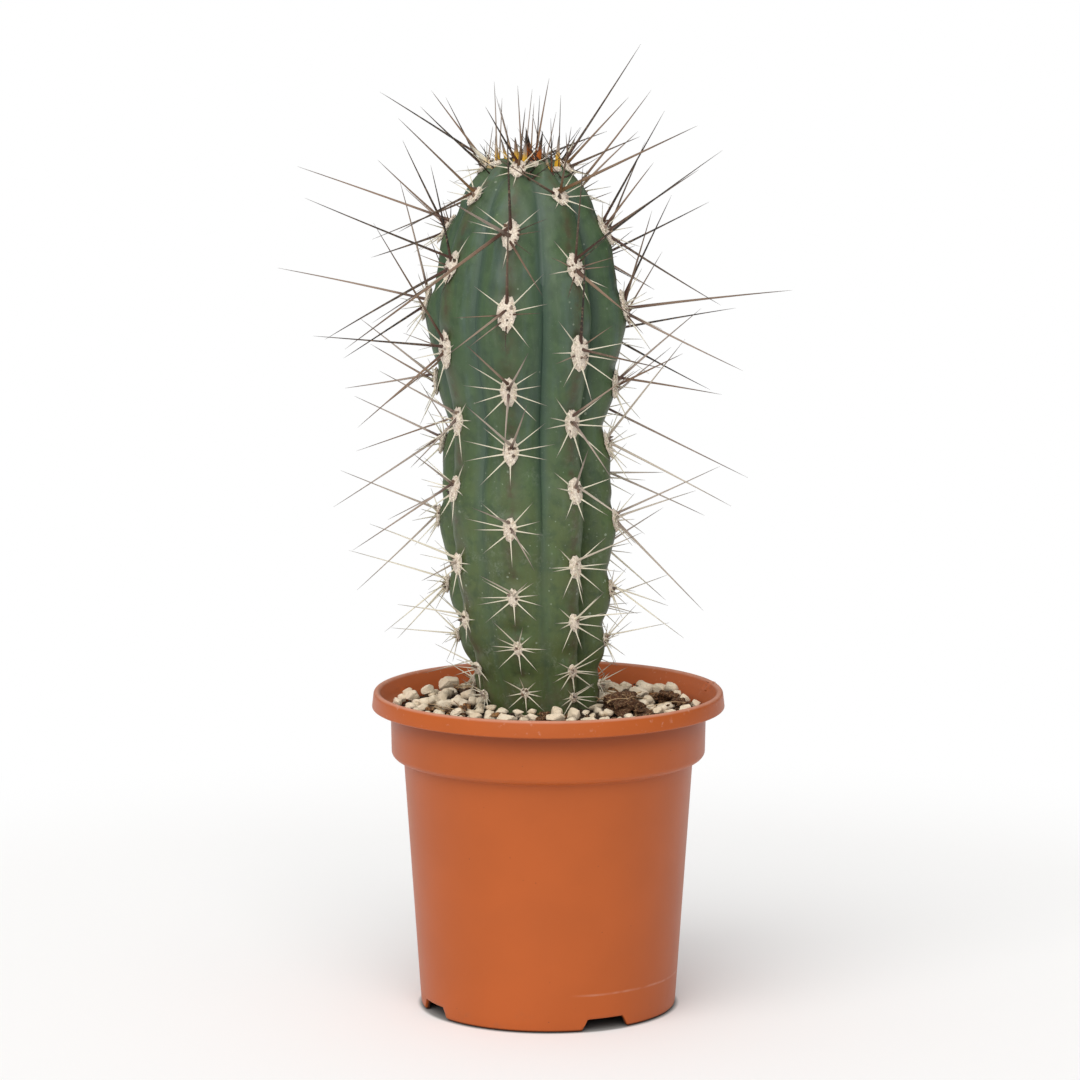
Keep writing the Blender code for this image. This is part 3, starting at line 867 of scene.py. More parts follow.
def profile_point(t):
    """Crest radius and height at t from 0 (crown) to 1 (foot), on a smooth curve."""
    points = [Vector(p) for p in STEM_PROFILE]
    at = min(max(t, 0), 1) * (len(points) - 1)
    i = min(int(at), len(points) - 2)
    f = at - i
    before = points[i - 1] if i else points[0]
    after = points[i + 2] if i + 2 < len(points) else points[-1]
    a, b = points[i], points[i + 1]
    return 0.5 * (
        2 * a + (b - before) * f + (2 * before - 5 * a + 4 * b - after) * f**2
        + (3 * a - before - 3 * b + after) * f**3
    )


def profile_at(z):
    """The place on the profile's long flank at a height."""
    low, high = SHOULDER, 1.0
    for _ in range(30):
        middle = (low + high) / 2
        if profile_point(middle).y > z:
            low = middle
        else:
            high = middle
    return low


def rib_azimuth(rib):
    turn = RIB_TURN * rib
    return FIRST_RIB + turn + RIB_UNEVENNESS * math.sin(radians(turn))


def crest_relief(rib, z):
    """Swelling below each areole and a nick above it, on the nearest crest."""
    heights = AREOLE_HEIGHTS[round(rib) % 2]
    swelling = sum(bell(z - h + 5, 9) for h in heights)
    nick = sum(bell(z - h - 8, 3.5) for h in heights)
    return SWELLING * swelling - NICK * nick - SETTLING


def stem_point(rib, t):
    """A point on the stem's skin, in millimetres; rib may be a fraction."""
    crest, z = profile_point(t)
    near = crest_share(rib)
    across = near**RIB_ROUNDNESS
    share = FURROW_SHARES[int(rib % RIBS) % RIBS]
    if share < SHARE_TO_FADE:
        share *= between(SHALLOW_FURROW, z)
    depth = between(FURROW, z) * share
    body = min(1, crest / 20)
    radius = crest * (1 - depth * (1 - across))
    radius += crest_relief(rib, z) * near**4 * body
    if t < 0.5:
        z += crown_hump(near, crest)
    direction = outward(rib_azimuth(rib))
    sway = noise.noise(Vector((rib * 1.7, 0.3, z * 0.022))) * 0.9
    sway += noise.noise(Vector((direction.x * 3, direction.y * 3, z * 0.07))) * 0.5
    return Vector((stem_centre(z), 0, z)) + direction * (radius + sway * body)


def crown_height(x, y):
    """Height of the skin at a place measured from the crown's middle."""
    far = math.hypot(x, y)
    near = crest_share((azimuth_of(x, y) - FIRST_RIB) / RIB_TURN)
    return between(STEM_PROFILE[:4], far) + crown_hump(near, far)


class POTTED_CACTUS_OT_stem(bpy.types.Operator):
    """Shape the ribbed stem from a sphere and give it its skin"""

    bl_idname = "potted_cactus.stem"
    bl_label = "Stem"

    def execute(self, context):
        settings = context.scene.potted_cactus.stem
        bm = bmesh.new()
        bmesh.ops.create_uvsphere(
            bm, u_segments=settings.segments * RIBS, v_segments=settings.rings, radius=1
        )
        furrow = bm.verts.layers.float.new("furrow")
        crest = bm.verts.layers.float.new("crest")
        for v in bm.verts:
            t = math.acos(max(-1, min(1, v.co.z))) / math.pi
            rib = math.atan2(v.co.y, v.co.x) / (2 * math.pi) * RIBS
            near = crest_share(rib)
            v[furrow] = (1 - near) ** 1.5
            v[crest] = near**10
            v.co = stem_point(rib, t)
        bmesh.ops.recalc_face_normals(bm, faces=bm.faces)
        stem = finish_piece("ribbed_stem", bm, [stem_skin(settings)])
        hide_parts("cactus_stem")
        return {"FINISHED"}


# ---------------------------------------------------------------- areoles and spines


def areole_frame(rib, z):
    """A crest point and the directions across, out of and up the crest there."""
    t = profile_at(z)
    here, below = stem_point(rib, t), stem_point(rib, t + SMALL_STEP)
    up = (here - below).normalized()
    across = outward(rib_azimuth(rib) - 90)
    out = up.cross(across).normalized()
    return here, across, out, up


def areole_size(level):
    """Width, thickness and height of an areole's cushion; the young ones are large."""
    return between(CUSHION_WIDTHS, level), CUSHION_THICKNESS, between(CUSHION_HEIGHTS, level)


NEEDLE_RINGS = (0.025, 0.06, 0.14, 0.32, 0.52, 0.72, 0.88, 1)
BULB_LENGTH = 2.2
TIP_RADIUS = 0.04


def add_needle(bm, mesh, layers, base, direction, length, radius, bend, look, swell=0.45):
    """One tapered spine from the template, bent a little, with its colour attributes."""
    side = direction.orthogonal().normalized()
    other = direction.cross(side)
    for v in append(bm, mesh):
        along = v.co.z
        bulb = 1 + swell * bell(along * length, BULB_LENGTH)
        taper = radius * bulb * (1 - along) ** 0.6 * (1 - 0.25 * along) + TIP_RADIUS
        v[layers["along"]] = along
        for name, value in look.items():
            v[layers[name]] = value
        v.co = (
            base + direction * (along * length) + bend * (along * along * length)
            + side * (v.co.x * taper) + other * (v.co.y * taper)
        )


def spine_direction(rib, turn, rise):
    level = outward(rib_azimuth(rib) + turn)
    return level * math.cos(radians(rise)) + Vector((0, 0, math.sin(radians(rise))))


def long_spines(rib, level):
    """An areole's long spines as (turn, rise, length, radius)."""
    rows = LONG_SPINES[rib]
    if rows:
        return [(*spine, *(None,) * (4 - len(spine))) for spine in rows[level]]
    rng = random.Random(HIDDEN_SEED + 10 * rib + level)
    lengths = HIDDEN_LENGTHS if level < CAD_AREOLES else LOW_HIDDEN_LENGTHS
    return [
        (turn + rng.uniform(-8, 8), rise + rng.uniform(-10, 10), rng.uniform(*lengths), None)
        for turn, rise in zip(HIDDEN_TURNS, HIDDEN_RISES)
    ]


RADIAL_CLOCK = (38, 10, -6, -42, -88, -138, -174, 170, 142)  # degrees up from sideways
LOST_SHARE = 0.08  # of the short spines
DARK_SHARE = 0.25  # of the short spines near the top


def needle_mesh():
    """A five-sided needle one long, in eight lengths."""

    def make(bm):
        bm.verts.layers.float.new("along")
        ring = bmesh.ops.create_circle(bm, cap_ends=True, segments=5, radius=1)["verts"]
        face = ring[0].link_faces[0]
        for along in NEEDLE_RINGS:
            face = bmesh.ops.extrude_discrete_faces(bm, faces=[face])["faces"][0]
            for v in face.verts:
                v.co.z = along
        bmesh.ops.recalc_face_normals(bm, faces=bm.faces)

    return template(make)


def new_spines():
    bm = bmesh.new()
    names = ("along", "tone", "yellow")
    return bm, {name: bm.verts.layers.float.new(name) for name in names}


def radial_spines(bm, layers, mesh, rng, rib, level, frame_here):
    """The short pale spines that fan out over the skin from one areole."""
    here, across, out, up = frame_here
    width, _, height = areole_size(level)
    reach = between(SHORT_LENGTHS, level)
    for clock in RADIAL_CLOCK:
        if rng.random() < LOST_SHARE:
            continue
        a = radians(clock + rng.uniform(-7, 7))
        flat = across * -math.cos(a) + up * math.sin(a)
        base = here + across * (-math.cos(a) * width * 0.34) + up * (math.sin(a) * height * 0.36)
        direction = (flat + out * rng.uniform(0.28, 0.62)).normalized()
        length = reach * rng.uniform(0.75, 1.2) * (0.8 if -60 > clock > -120 else 1)
        bend = out * rng.uniform(-0.06, 0.03) + up * rng.uniform(-0.04, 0.02)
        look = {"tone": rng.uniform(0, 0.14), "yellow": 0}
        if level < 3 and rng.random() < DARK_SHARE:
            look["tone"] = rng.uniform(0.6, 0.9)
        thick = between(SHORT_RADII, level)
        add_needle(bm, mesh, layers, base + out * 0.8, direction, length, thick, bend, look)


def central_spines(bm, layers, mesh, rng, rib, level, frame_here, thickness):
    """The long spines that stand out from one areole."""
    here, across, out, up = frame_here
    for i, (turn, rise, length, thick) in enumerate(long_spines(rib, level)):
        direction = spine_direction(rib, turn, rise)
        lift = (0.28 - 0.16 * i) * areole_size(level)[2]
        tone = between(LONG_TONES, level)
        tone -= 0.2 if (thick or 0) > 0.85 else 0
        look = {"tone": min(1, max(0, tone + rng.uniform(-0.32, 0.14))), "yellow": 0}
        if level == 0:
            look["yellow"] = rng.uniform(0, 0.12)
        radius = thick or thickness * between(LONG_THICKNESS, level)
        bend = Vector([rng.uniform(-0.025, 0.025) for _ in range(3)])
        base = here + up * lift + out * 0.6
        reach = length + 1.5
        add_needle(bm, mesh, layers, base, direction, reach, radius, bend, look)
    width, thickness_here, height = areole_size(level)
    for _ in range(4 if level < 5 else 2):
        x, y = rng.uniform(-0.3, 0.3) * width, rng.uniform(-0.2, 0.34) * height
        way = (out + across * (x / width) + up * rng.uniform(-0.3, 0.5)).normalized()
        look = {"tone": rng.uniform(0.5, 0.9), "yellow": 0}
        base = here + across * x + up * y + out * thickness_here * 0.3
        length, thick = rng.uniform(1.8, 3.0), rng.uniform(0.55, 0.85)
        add_needle(bm, mesh, layers, base, way, length, thick, Vector((0, 0, 0)), look)


class POTTED_CACTUS_OT_areoles(bpy.types.Operator):
    """Set a woolly cushion at every areole, rib by rib"""

    bl_idname = "potted_cactus.areoles"
    bl_label = "Areoles"

    def execute(self, context):
        made = felt(context.scene.potted_cactus.spine)
        ball = template(bmesh.ops.create_uvsphere, u_segments=30, v_segments=22, radius=0.5)
        hair = template(
            bmesh.ops.create_cone, cap_ends=True, segments=3, radius1=0.09, radius2=0, depth=1
        )
        for rib in range(RIBS):
            rng = random.Random(AREOLE_SEED + rib)
            bm = bmesh.new()
            age = bm.verts.layers.float.new("age")
            for level, z in enumerate(AREOLE_HEIGHTS[rib % 2]):
                here, across, out, up = areole_frame(rib, z)
                width, thickness, height = areole_size(level)
                for v in append(bm, ball):
                    p = v.co.copy()
                    at = Vector((rib * 7, level * 3, 0))
                    lump = 1 + 0.2 * noise.noise(p * 5 + at) + 0.16 * noise.noise(p * 15 + at)
                    v[age] = level / 8
                    narrow = 1 - 0.22 * max(0, -p.z * 2)
                    v.co = (
                        here + across * (p.x * width * lump * narrow)
                        + out * (p.y * thickness * lump + 0.35) + up * (p.z * height * lump)
                    )
                for _ in range(CUSHION_HAIRS):
                    a, d = rng.uniform(0, 2 * math.pi), math.sqrt(rng.uniform(0, 1))
                    x, y = math.cos(a) * d, math.sin(a) * d
                    root = here + across * (x * width * 0.46) + up * (y * height * 0.46)
                    root += out * (0.35 + thickness * 0.42 * math.sqrt(max(0, 1 - d * d)))
                    way = (
                        out * rng.uniform(0.4, 1) + across * (x + rng.uniform(-0.4, 0.4))
                        + up * (y + rng.uniform(-0.4, 0.4))
                    ).normalized()
                    turn = way.to_track_quat("Z", "Y")
                    size = rng.uniform(0.7, 1.5)
                    for v in append(bm, hair):
                        v[age] = level / 8
                        v.co = root + turn @ Vector((v.co.x, v.co.y, (v.co.z + 0.3) * size))
            piece = finish_piece(f"rib_{rib + 1}_areoles", bm, [made])
            nodes = [f"rib_{rib + 1}_areole_{i + 1}" for i in range(CAD_AREOLES)]
            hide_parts(*nodes)
        return {"FINISHED"}


class POTTED_CACTUS_OT_spines(bpy.types.Operator):
    """Grow the long and the short spines of every areole, and the crown's"""

    bl_idname = "potted_cactus.spines"
    bl_label = "Spines"

    def execute(self, context):
        settings = context.scene.potted_cactus.spine
        made = horn(settings)
        needle = needle_mesh()
        for rib in range(RIBS):
            rng = random.Random(SPINE_SEED + rib)
            long_bm, long_layers = new_spines()
            short_bm, short_layers = new_spines()
            for level, z in enumerate(AREOLE_HEIGHTS[rib % 2]):
                here = areole_frame(rib, z)
                central_spines(
                    long_bm, long_layers, needle, rng, rib, level, here, settings.thickness
                )
                radial_spines(short_bm, short_layers, needle, rng, rib, level, here)
            for kind, bm in (("long", long_bm), ("short", short_bm)):
                name = f"rib_{rib + 1}_{kind}_spines"
                finish_piece(name, bm, [made], SPINE_SMOOTH)
        self.crown(made, needle, felt(settings))
        return {"FINISHED"}

    def crown(self, made, needle, wool):
        """Young spines upright round the growing point, in a tuft of wool."""
        rng = random.Random(CROWN_SEED)
        bm, layers = new_spines()
        middle = stem_centre(CROWN_HEIGHT)
        still = Vector((0, 0, 0))

        def foot(x, y, sink):
            return Vector((middle + x, y, crown_height(x, y) - sink))

        for x, y, length, lean, back in CROWN_SPINES:
            way = Vector((math.tan(radians(lean)), math.tan(radians(back)), 1)).normalized()
            look = {"tone": rng.uniform(0.45, 0.95), "yellow": rng.uniform(0, 0.5)}
            bend = Vector((rng.uniform(-0.03, 0.03), rng.uniform(-0.03, 0.03), 0))
            thick = rng.uniform(0.4, 0.55)
            add_needle(bm, needle, layers, foot(x, y, 1.5), way, length, thick, bend, look)
        for x, y, length, lean, thick, tone in YOUNG_SHOOTS:
            way = Vector((math.tan(radians(lean)), -0.1, 1)).normalized()
            look = {"tone": tone, "yellow": 0.45 if tone < 0.2 else 1}
            place = foot(x, y * 0.9, 1.2)
            add_needle(bm, needle, layers, place, way, length + 2, thick * 1.2, still, look, 0)
        for _ in range(CROWN_NEEDLES):
            a, d = rng.uniform(0, 2 * math.pi), rng.uniform(8, 20)
            lean = rng.uniform(0.5, 1.7) * rng.choice((-1, 1))
            way = Vector((lean, rng.uniform(-0.5, 0.3), 1)).normalized()
            look = {"tone": 1, "yellow": 0}
            place = foot(math.cos(a) * d, math.sin(a) * d, 0.5)
            length, thick = rng.uniform(10, 21), rng.uniform(0.24, 0.36)
            add_needle(bm, needle, layers, place, way, length, thick, still, look)
        finish_piece("crown_spines", bm, [made], SPINE_SMOOTH)

        bm = bmesh.new()
        bm.verts.layers.float.new("age")
        ball = template(bmesh.ops.create_uvsphere, u_segments=20, v_segments=12, radius=0.5)
        tufts = [
            (math.cos(i * SPIRAL) * TUFT_SPACING * math.sqrt(i),
             math.sin(i * SPIRAL) * TUFT_SPACING * math.sqrt(i))
            for i in range(CROWN_TUFTS)
        ]
        for i, (x, y) in enumerate([*tufts, *(shoot[:2] for shoot in YOUNG_SHOOTS)]):
            centre = foot(x, y, -0.2)
            for v in append(bm, ball):
                lump = 1 + 0.35 * noise.noise(v.co * 6 + Vector((i, 0, 0)))
                v.co = centre + Vector((v.co.x * 4.6, v.co.y * 4.6, v.co.z * 3.2)) * lump
        finish_piece("crown_wool", bm, [wool])


# ---------------------------------------------------------------- soil and top dressing

SOIL_RADIUS = 74.0
SPAN = 76  # cells of the ground's grid on each side of the middle, 1 mm each


def tinted():
    """A new bmesh whose vertices carry a tint."""
    bm = bmesh.new()
    return bm, bm.verts.layers.float.new("tint")


class Ground:
    """The height of what already lies in the pot, on a square grid of cells."""

    def __init__(self):
        side = 2 * SPAN + 1
        self.heights = [[soil_height(x - SPAN, y - SPAN) for y in range(side)] for x in range(side)]

    def cells(self, x, y, reach):
        for i in range(int(x - reach), int(x + reach) + 2):
            for j in range(int(y - reach), int(y + reach) + 2):
                far = math.hypot(i - x, j - y) / reach
                if far < 1 and abs(i) <= SPAN and abs(j) <= SPAN:
                    yield i + SPAN, j + SPAN, far

    def under(self, x, y, reach):
        found = [self.heights[i][j] for i, j, far in self.cells(x, y, max(reach, 0.8))]
        found.sort()
        return found[int(len(found) * 0.72)] if found else SOIL_TOP

    def cover(self, x, y, reach, low, height):
        for i, j, far in self.cells(x, y, max(reach, 0.8)):
            top = low + height * (0.5 + 0.5 * math.sqrt(1 - far * far))
            self.heights[i][j] = max(self.heights[i][j], top)


def soil_height(x, y):
    """Top of the bare soil: lumpy, and a little higher round the stem's foot."""
    near = math.hypot(x - stem_centre(0), y)
    lumps = noise.fractal(Vector((x * 0.13, y * 0.13, 4)), 0.7, 2, 4)
    return SOIL_TOP - 1.2 + 3.4 * bell(near - 24, 16) + lumps * 1.1


class POTTED_CACTUS_OT_soil(bpy.types.Operator):
    """Fill the pot with soil under a lumpy surface"""

    bl_idname = "potted_cactus.soil"
    bl_label = "Soil"

    def execute(self, context):
        floor = FLOOR_HEIGHT + WALL + 0.3
        side = WALL + 0.4
        rings = [(r, SOIL_TOP) for r in range(0, int(SOIL_RADIUS), 1)]
        rings += [
            (SOIL_RADIUS, SOIL_TOP - 0.5),
            (COLLAR_RADIUS - side, COLLAR_BOTTOM + WALL + 0.4),
            (BODY_TOP_RADIUS - side, BODY_TOP + WALL + 0.4),
            (body_radius(floor) - side - 0.4, floor + 1.8),
            (body_radius(floor) - side - 2, floor),
            (PAD_RADIUS - side, floor),
            (PAD_RADIUS - side - WALL - 0.3, WALL + 0.3),
            (0, WALL + 0.3),
        ]
        bm = turned(rings, 220)
        for v in bm.verts:
            if v.co.z > SOIL_TOP - 1:
                v.co.z = soil_height(v.co.x, v.co.y)
                fine = noise.fractal(Vector((v.co.x * 0.5, v.co.y * 0.5, 9)), 0.6, 2, 3)
                v.co.z += fine * 0.8
        made = humus(context.scene.potted_cactus.dressing)
        soil = finish_piece("potting_soil", bm, [made])
        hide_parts("soil")
        return {"FINISHED"}


def add_lump(bm, mesh, tint_layer, centre, size, turn, seed, rough, tint, facets=0):
    """One stone or chip: a template ball with worn facets, knocked about and turned."""
    spin = Matrix.Rotation(turn, 3, "Z") @ Matrix.Rotation(seed * 1.7 % 0.5 - 0.25, 3, "X")
    at = Vector((seed * 3.1, seed * 1.3, seed * 0.7))
    cuts = []
    for i in range(facets):
        way = facet_normal(seed, i)
        cuts.append((way, 0.3 + 0.1 * noise.noise(at + way * 3)))
    for v in append(bm, mesh):
        p = v.co.copy()
        p *= 1 + noise.noise(p * 2.2 + at) * rough + noise.noise(p * 5.5 + at) * rough * 0.4
        for way, reach in cuts:
            past = p.dot(way) - reach
            if past > 0:
                p -= way * past * 0.8
        p *= 1 + noise.noise(p * 14 + at) * 0.06
        v[tint_layer] = tint
        v.co = centre + spin @ Vector((p.x * size[0], p.y * size[1], p.z * size[2]))


def facet_normal(seed, i):
    """Directions spread over the ball, turned by the seed."""
    z = 1 - (2 * i + 1) / FACETS
    angle = i * SPIRAL + seed
    flat = math.sqrt(1 - z * z)
    return Vector((math.cos(angle) * flat, math.sin(angle) * flat, z))


def in_the_way(x, y, reach):
    """True where a loose stone would meet the stem or the pot's wall."""
    if math.hypot(x, y) + reach > SOIL_RADIUS - 0.5:
        return True
    aside = x - stem_centre(0)
    near = crest_share((azimuth_of(aside, y) - FIRST_RIB) / RIB_TURN)
    stem = STEM_FOOT_RADIUS * (0.76 + 0.24 * near**RIB_ROUNDNESS)
    return math.hypot(aside, y) < stem + reach * 0.8


# Patches of bare humus and litter: place and radius
BARE = ((-34, 24, 9), (-48, -14, 8), (36, -20, 10), (58, 8, 7), (-3, -36, 4), (44, -27, 6),
        (9, -32, 5), (-24, -34, 4))

PEBBLE_SIZES = (3.5, 4.5, 5.5, 6.5, 7, 8, 9)
FRONT = -28  # pebbles nearer to the front than this are smaller
FRONT_SHRINK = 0.78
FACETS = 7  # worn flats on each stone
CHIPS = 150
CHIPS_IN_PATCHES = 84
ROOTS = 46
ROOTS_IN_PATCHES = 30

# Clumps of bark: x, y, length, width, height and how ochre each is
LAID_BARK = (
    (-35, 20, 11, 9, 9.5, 0.1), (-33, 6, 8, 7, 6, 0.5), (37, 12, 14, 7, 6, 0.9),
    (31, 26, 11, 6, 6, 0.7), (-40, -8, 9, 6, 4.5, 0.9), (46, -26, 9, 6, 5, 0.3),
)

# Loose stones that are laid first: x, y, length, width, height
LAID = (
    (-69, 30, 7, 6, 5.5), (-73, 6, 6, 5, 5), (-71, 17, 6, 5, 5), (-52, 13, 8, 7, 6),
    (-60, -9, 7, 6, 5), (-66, -6, 6, 5, 5), (-51, 22, 7, 6, 6), (-47, 34, 7, 6, 5),
    (-35, -32, 9, 6, 5), (-28, -36, 8, 6, 5), (-8, -36, 8, 6, 5.5), (11, -45, 10, 7, 5),
    (12, -35, 8, 6, 8), (4, -33, 7, 6, 8.5), (27, -44, 7, 6, 5), (33, -45, 8, 6, 5),
    (41, -42, 7, 6, 5), (31, 20, 12, 8, 6), (33, 33, 9, 7, 6), (38, 47, 8, 7, 6),
    (46, 49, 8, 7, 6), (63, 22, 8, 6, 6), (71, 2, 6, 5, 5), (58, -24, 7, 6, 5),
    (66, -12, 7, 6, 5), (49, 8, 6, 5, 5), (40, 4, 7, 5, 5), (-12, -44, 7, 6, 5),
    (-43, -38, 8, 6, 5), (-52, -30, 8, 6, 5), (25, -52, 7, 6, 5), (-28, 44, 9, 7, 6),
)


class POTTED_CACTUS_OT_dressing(bpy.types.Operator):
    """Lay stones, bark, crumbs and dry roots on the soil"""

    bl_idname = "potted_cactus.dressing"
    bl_label = "Top dressing"

    def execute(self, context):
        settings = context.scene.potted_cactus.dressing
        self.rng = random.Random(DRESSING_SEED)
        self.ground = Ground()
        self.stone = gravel(settings)
        self.bark = shredded_bark(settings)
        self.fine, self.plain, self.small = (
            template(bmesh.ops.create_icosphere, subdivisions=n, radius=0.5) for n in (5, 3, 2)
        )
        self.named(STONES, "stone", "gravel_stone", self.stone, 0.3, FACETS)
        self.named(BARK, "bark", "bark_chip", self.bark, 0.75, 0)
        self.laid_bark()
        self.scatter(settings.pebbles)
        self.chips()
        self.crumbs(settings)
        self.roots()
        return {"FINISHED"}

    def anywhere(self, low, high, radius):
        """A random place in the pot and its angle; low and high are shares of the area."""
        far = math.sqrt(self.rng.uniform(low, high)) * radius
        angle = self.rng.uniform(0, 2 * math.pi)
        return math.cos(angle) * far, math.sin(angle) * far, angle

    def in_patch(self, patch, spread):
        """A random place in or near a bare patch."""
        x, y, reach = patch
        return x + self.rng.gauss(0, reach * spread), y + self.rng.gauss(0, reach * spread)

    def named(self, places, node, name, made, rough, facets):
        """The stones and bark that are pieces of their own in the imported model."""
        for i, (x, y, length, width, height, turn) in enumerate(places):
            bm, tint = tinted()
            centre = Vector((x, y, SOIL_TOP + 0.3 + height / 2))
            size = Vector((length, width, height))
            add_lump(bm, self.fine, tint, centre, size, radians(turn), 3.7 * i + len(node), rough,
                     self.rng.uniform(0, 0.5), facets)
            self.ground.cover(x, y, (length + width) / 4, SOIL_TOP, height)
            piece = finish_piece(f"{name}_{i + 1}", bm, [made])
            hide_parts(f"{node}_{i + 1}")

    def scatter(self, count):
        """Loose stones: the laid ones, then small ones dropped in the gaps between."""
        bm, tint = tinted()
        rng = self.rng
        for i, (x, y, length, width, height) in enumerate(LAID):
            low = SOIL_TOP - 0.2
            centre, size = Vector((x, y, low + height / 2)), (length, width, height)
            turn = rng.uniform(0, 3.1)
            add_lump(bm, self.plain, tint, centre, size, turn, 2.3 * i, 0.3, rng.uniform(0, 0.7),
                     FACETS)
            self.ground.cover(x, y, (length + width) / 4, low, height)
        laid = 0
        for tries in range(count * 14):
            if laid == count:
                break
            x, y, angle = self.anywhere(0.09, 1, SOIL_RADIUS)
            size = rng.choice(PEBBLE_SIZES) * (FRONT_SHRINK if y < FRONT else 1)
            if in_the_way(x, y, size * 0.4):
                continue
            if any(math.hypot(x - bx, y - by) < reach + size * 0.3 for bx, by, reach in BARE):
                continue
            low = self.ground.under(x, y, size * 0.45)
            if low > SOIL_TOP + between(((30, 4.5), (45, 3), (76, 2)), math.hypot(x, y)):
                continue
            height = size * rng.uniform(0.5, 0.8)
            spread = Vector((size * rng.uniform(1, 1.25), size * rng.uniform(0.75, 1), height))
            centre = Vector((x, y, low + height * 0.36))
            add_lump(bm, self.small, tint, centre, spread, angle * 5, tries * 0.37, 0.3,
                     rng.uniform(0, 1) ** 2, FACETS)
            self.ground.cover(x, y, size * 0.45, low - height * 0.14, height)
            laid += 1
        finish_piece("loose_gravel", bm, [self.stone])

    def laid_bark(self):
        """Clumps of bark and fibre beside the stem."""
        bm, tint = tinted()
        for i, (x, y, length, width, height, shade) in enumerate(LAID_BARK):
            centre = Vector((x, y, SOIL_TOP + height * 0.4))
            size = (length, width, height)
            add_lump(bm, self.fine, tint, centre, size, 0.5 * i, 5.3 * i + 1, 0.7, shade)
            self.ground.cover(x, y, (length + width) / 4, SOIL_TOP, height * 0.9)
        finish_piece("bark_clumps", bm, [self.bark])

    def chips(self):
        """Small torn bits of bark in the bare patches and between the stones."""
        bm, tint = tinted()
        rng = self.rng
        for i in range(CHIPS):
            if i < CHIPS_IN_PATCHES:
                x, y = self.in_patch(BARE[i % len(BARE)], 0.5)
            else:
                x, y, _ = self.anywhere(0.1, 1, 72)
            size = rng.uniform(1.8, 5.5)
            if in_the_way(x, y, size * 0.3):
                continue
            low = self.ground.under(x, y, size * 0.3)
            if low > SOIL_TOP + 4 or math.hypot(x, y) > 69:
                continue
            width, height = size * rng.uniform(0.4, 0.8), size * rng.uniform(0.25, 0.5)
            spread = Vector((size * 1.4, width, height))
            centre = Vector((x, y, low + spread.z * 0.4))
            add_lump(bm, self.small, tint, centre, spread, rng.uniform(0, 6), i * 1.9, 0.9,
                     rng.uniform(0, 1))
            self.ground.cover(x, y, size * 0.35, low, spread.z)
        finish_piece("bark_bits", bm, [self.bark])

    def crumbs(self, settings):
        """Soil crumbs and grit between the stones."""
        bm, tint = tinted()
        crumb = template(bmesh.ops.create_icosphere, subdivisions=1, radius=0.5)
        rng = self.rng
        for i in range(settings.crumbs):
            x, y, angle = self.anywhere(0.1, 1, 73)
            size = rng.uniform(0.7, 2.4)
            if in_the_way(x, y, size * 0.4):
                continue
            low = self.ground.under(x, y, size * 0.5)
            if low > SOIL_TOP + 1.6:
                continue
            spread = Vector((size, size * 0.9, size * 0.8))
            centre = Vector((x, y, low + size * 0.25))
            add_lump(bm, crumb, tint, centre, spread, angle, i * 0.71, 0.5, 0)
        finish_piece("soil_crumbs", bm, [humus(settings)])

    def roots(self):
        """Bits of straw and thin root lying over the stones."""
        bm, tint = tinted()
        rod = template(
            bmesh.ops.create_cone, cap_ends=True, segments=6, radius1=1, radius2=0.7, depth=1
        )
        bm_rod = bmesh.new()
        bm_rod.from_mesh(rod)
        long_edges = [e for e in bm_rod.edges if abs(e.verts[0].co.z - e.verts[1].co.z) > 0.5]
        bmesh.ops.subdivide_edges(bm_rod, edges=long_edges, cuts=7, use_grid_fill=True)
        bm_rod.to_mesh(rod)
        bm_rod.free()
        rng = self.rng
        for i in range(ROOTS):
            if i < ROOTS_IN_PATCHES:
                x, y = self.in_patch(BARE[i % 3], 0.6)
            else:
                x, y, _ = self.anywhere(0.12, 0.95, 72)
            length = rng.uniform(6, 20)
            if in_the_way(x, y, length * 0.4):
                continue
            low = self.ground.under(x, y, length * 0.25) + 0.7
            way = Vector((math.cos(i * 2.1), math.sin(i * 2.1), rng.uniform(-0.1, 0.2)))
            side = Vector((-way.y, way.x, 0))
            thick, curl = rng.uniform(0.15, 0.4), rng.uniform(-3, 3)
            shade = rng.uniform(0, 1)
            for v in append(bm, rod):
                s = v.co.z
                v[tint] = shade
                v.co = (
                    Vector((x, y, low)) + way * (s * length)
                    + side * (v.co.x * thick + curl * math.sin(s * 4))
                    + Vector((0, 0, v.co.y * thick + 0.6 * math.sin(s * 5 + i)))
                )
        finish_piece("dry_roots", bm, [dry_root()])


# ---------------------------------------------------------------- stage

CAMERA_PLACE = (-0.004, -2.076, 0.528)
CAMERA_PITCH = 8.25
CAMERA_LENS = 145.75
CAMERA_SENSOR = 36
CAMERA_CLIP = (0.05, 20)
KEY_DIRECTION = (0.27, 0.95, -0.97)
KEY_COLOUR = (1, 0.985, 0.96)
GLOW_UP = 0.62
GLOW_FRONT = 0.36
GLOW_ROUND = 0.2
GLOW_LOST_RIGHT = 0.28
FLOOR_SIZE = 3.0  # metres, as are the camera's numbers


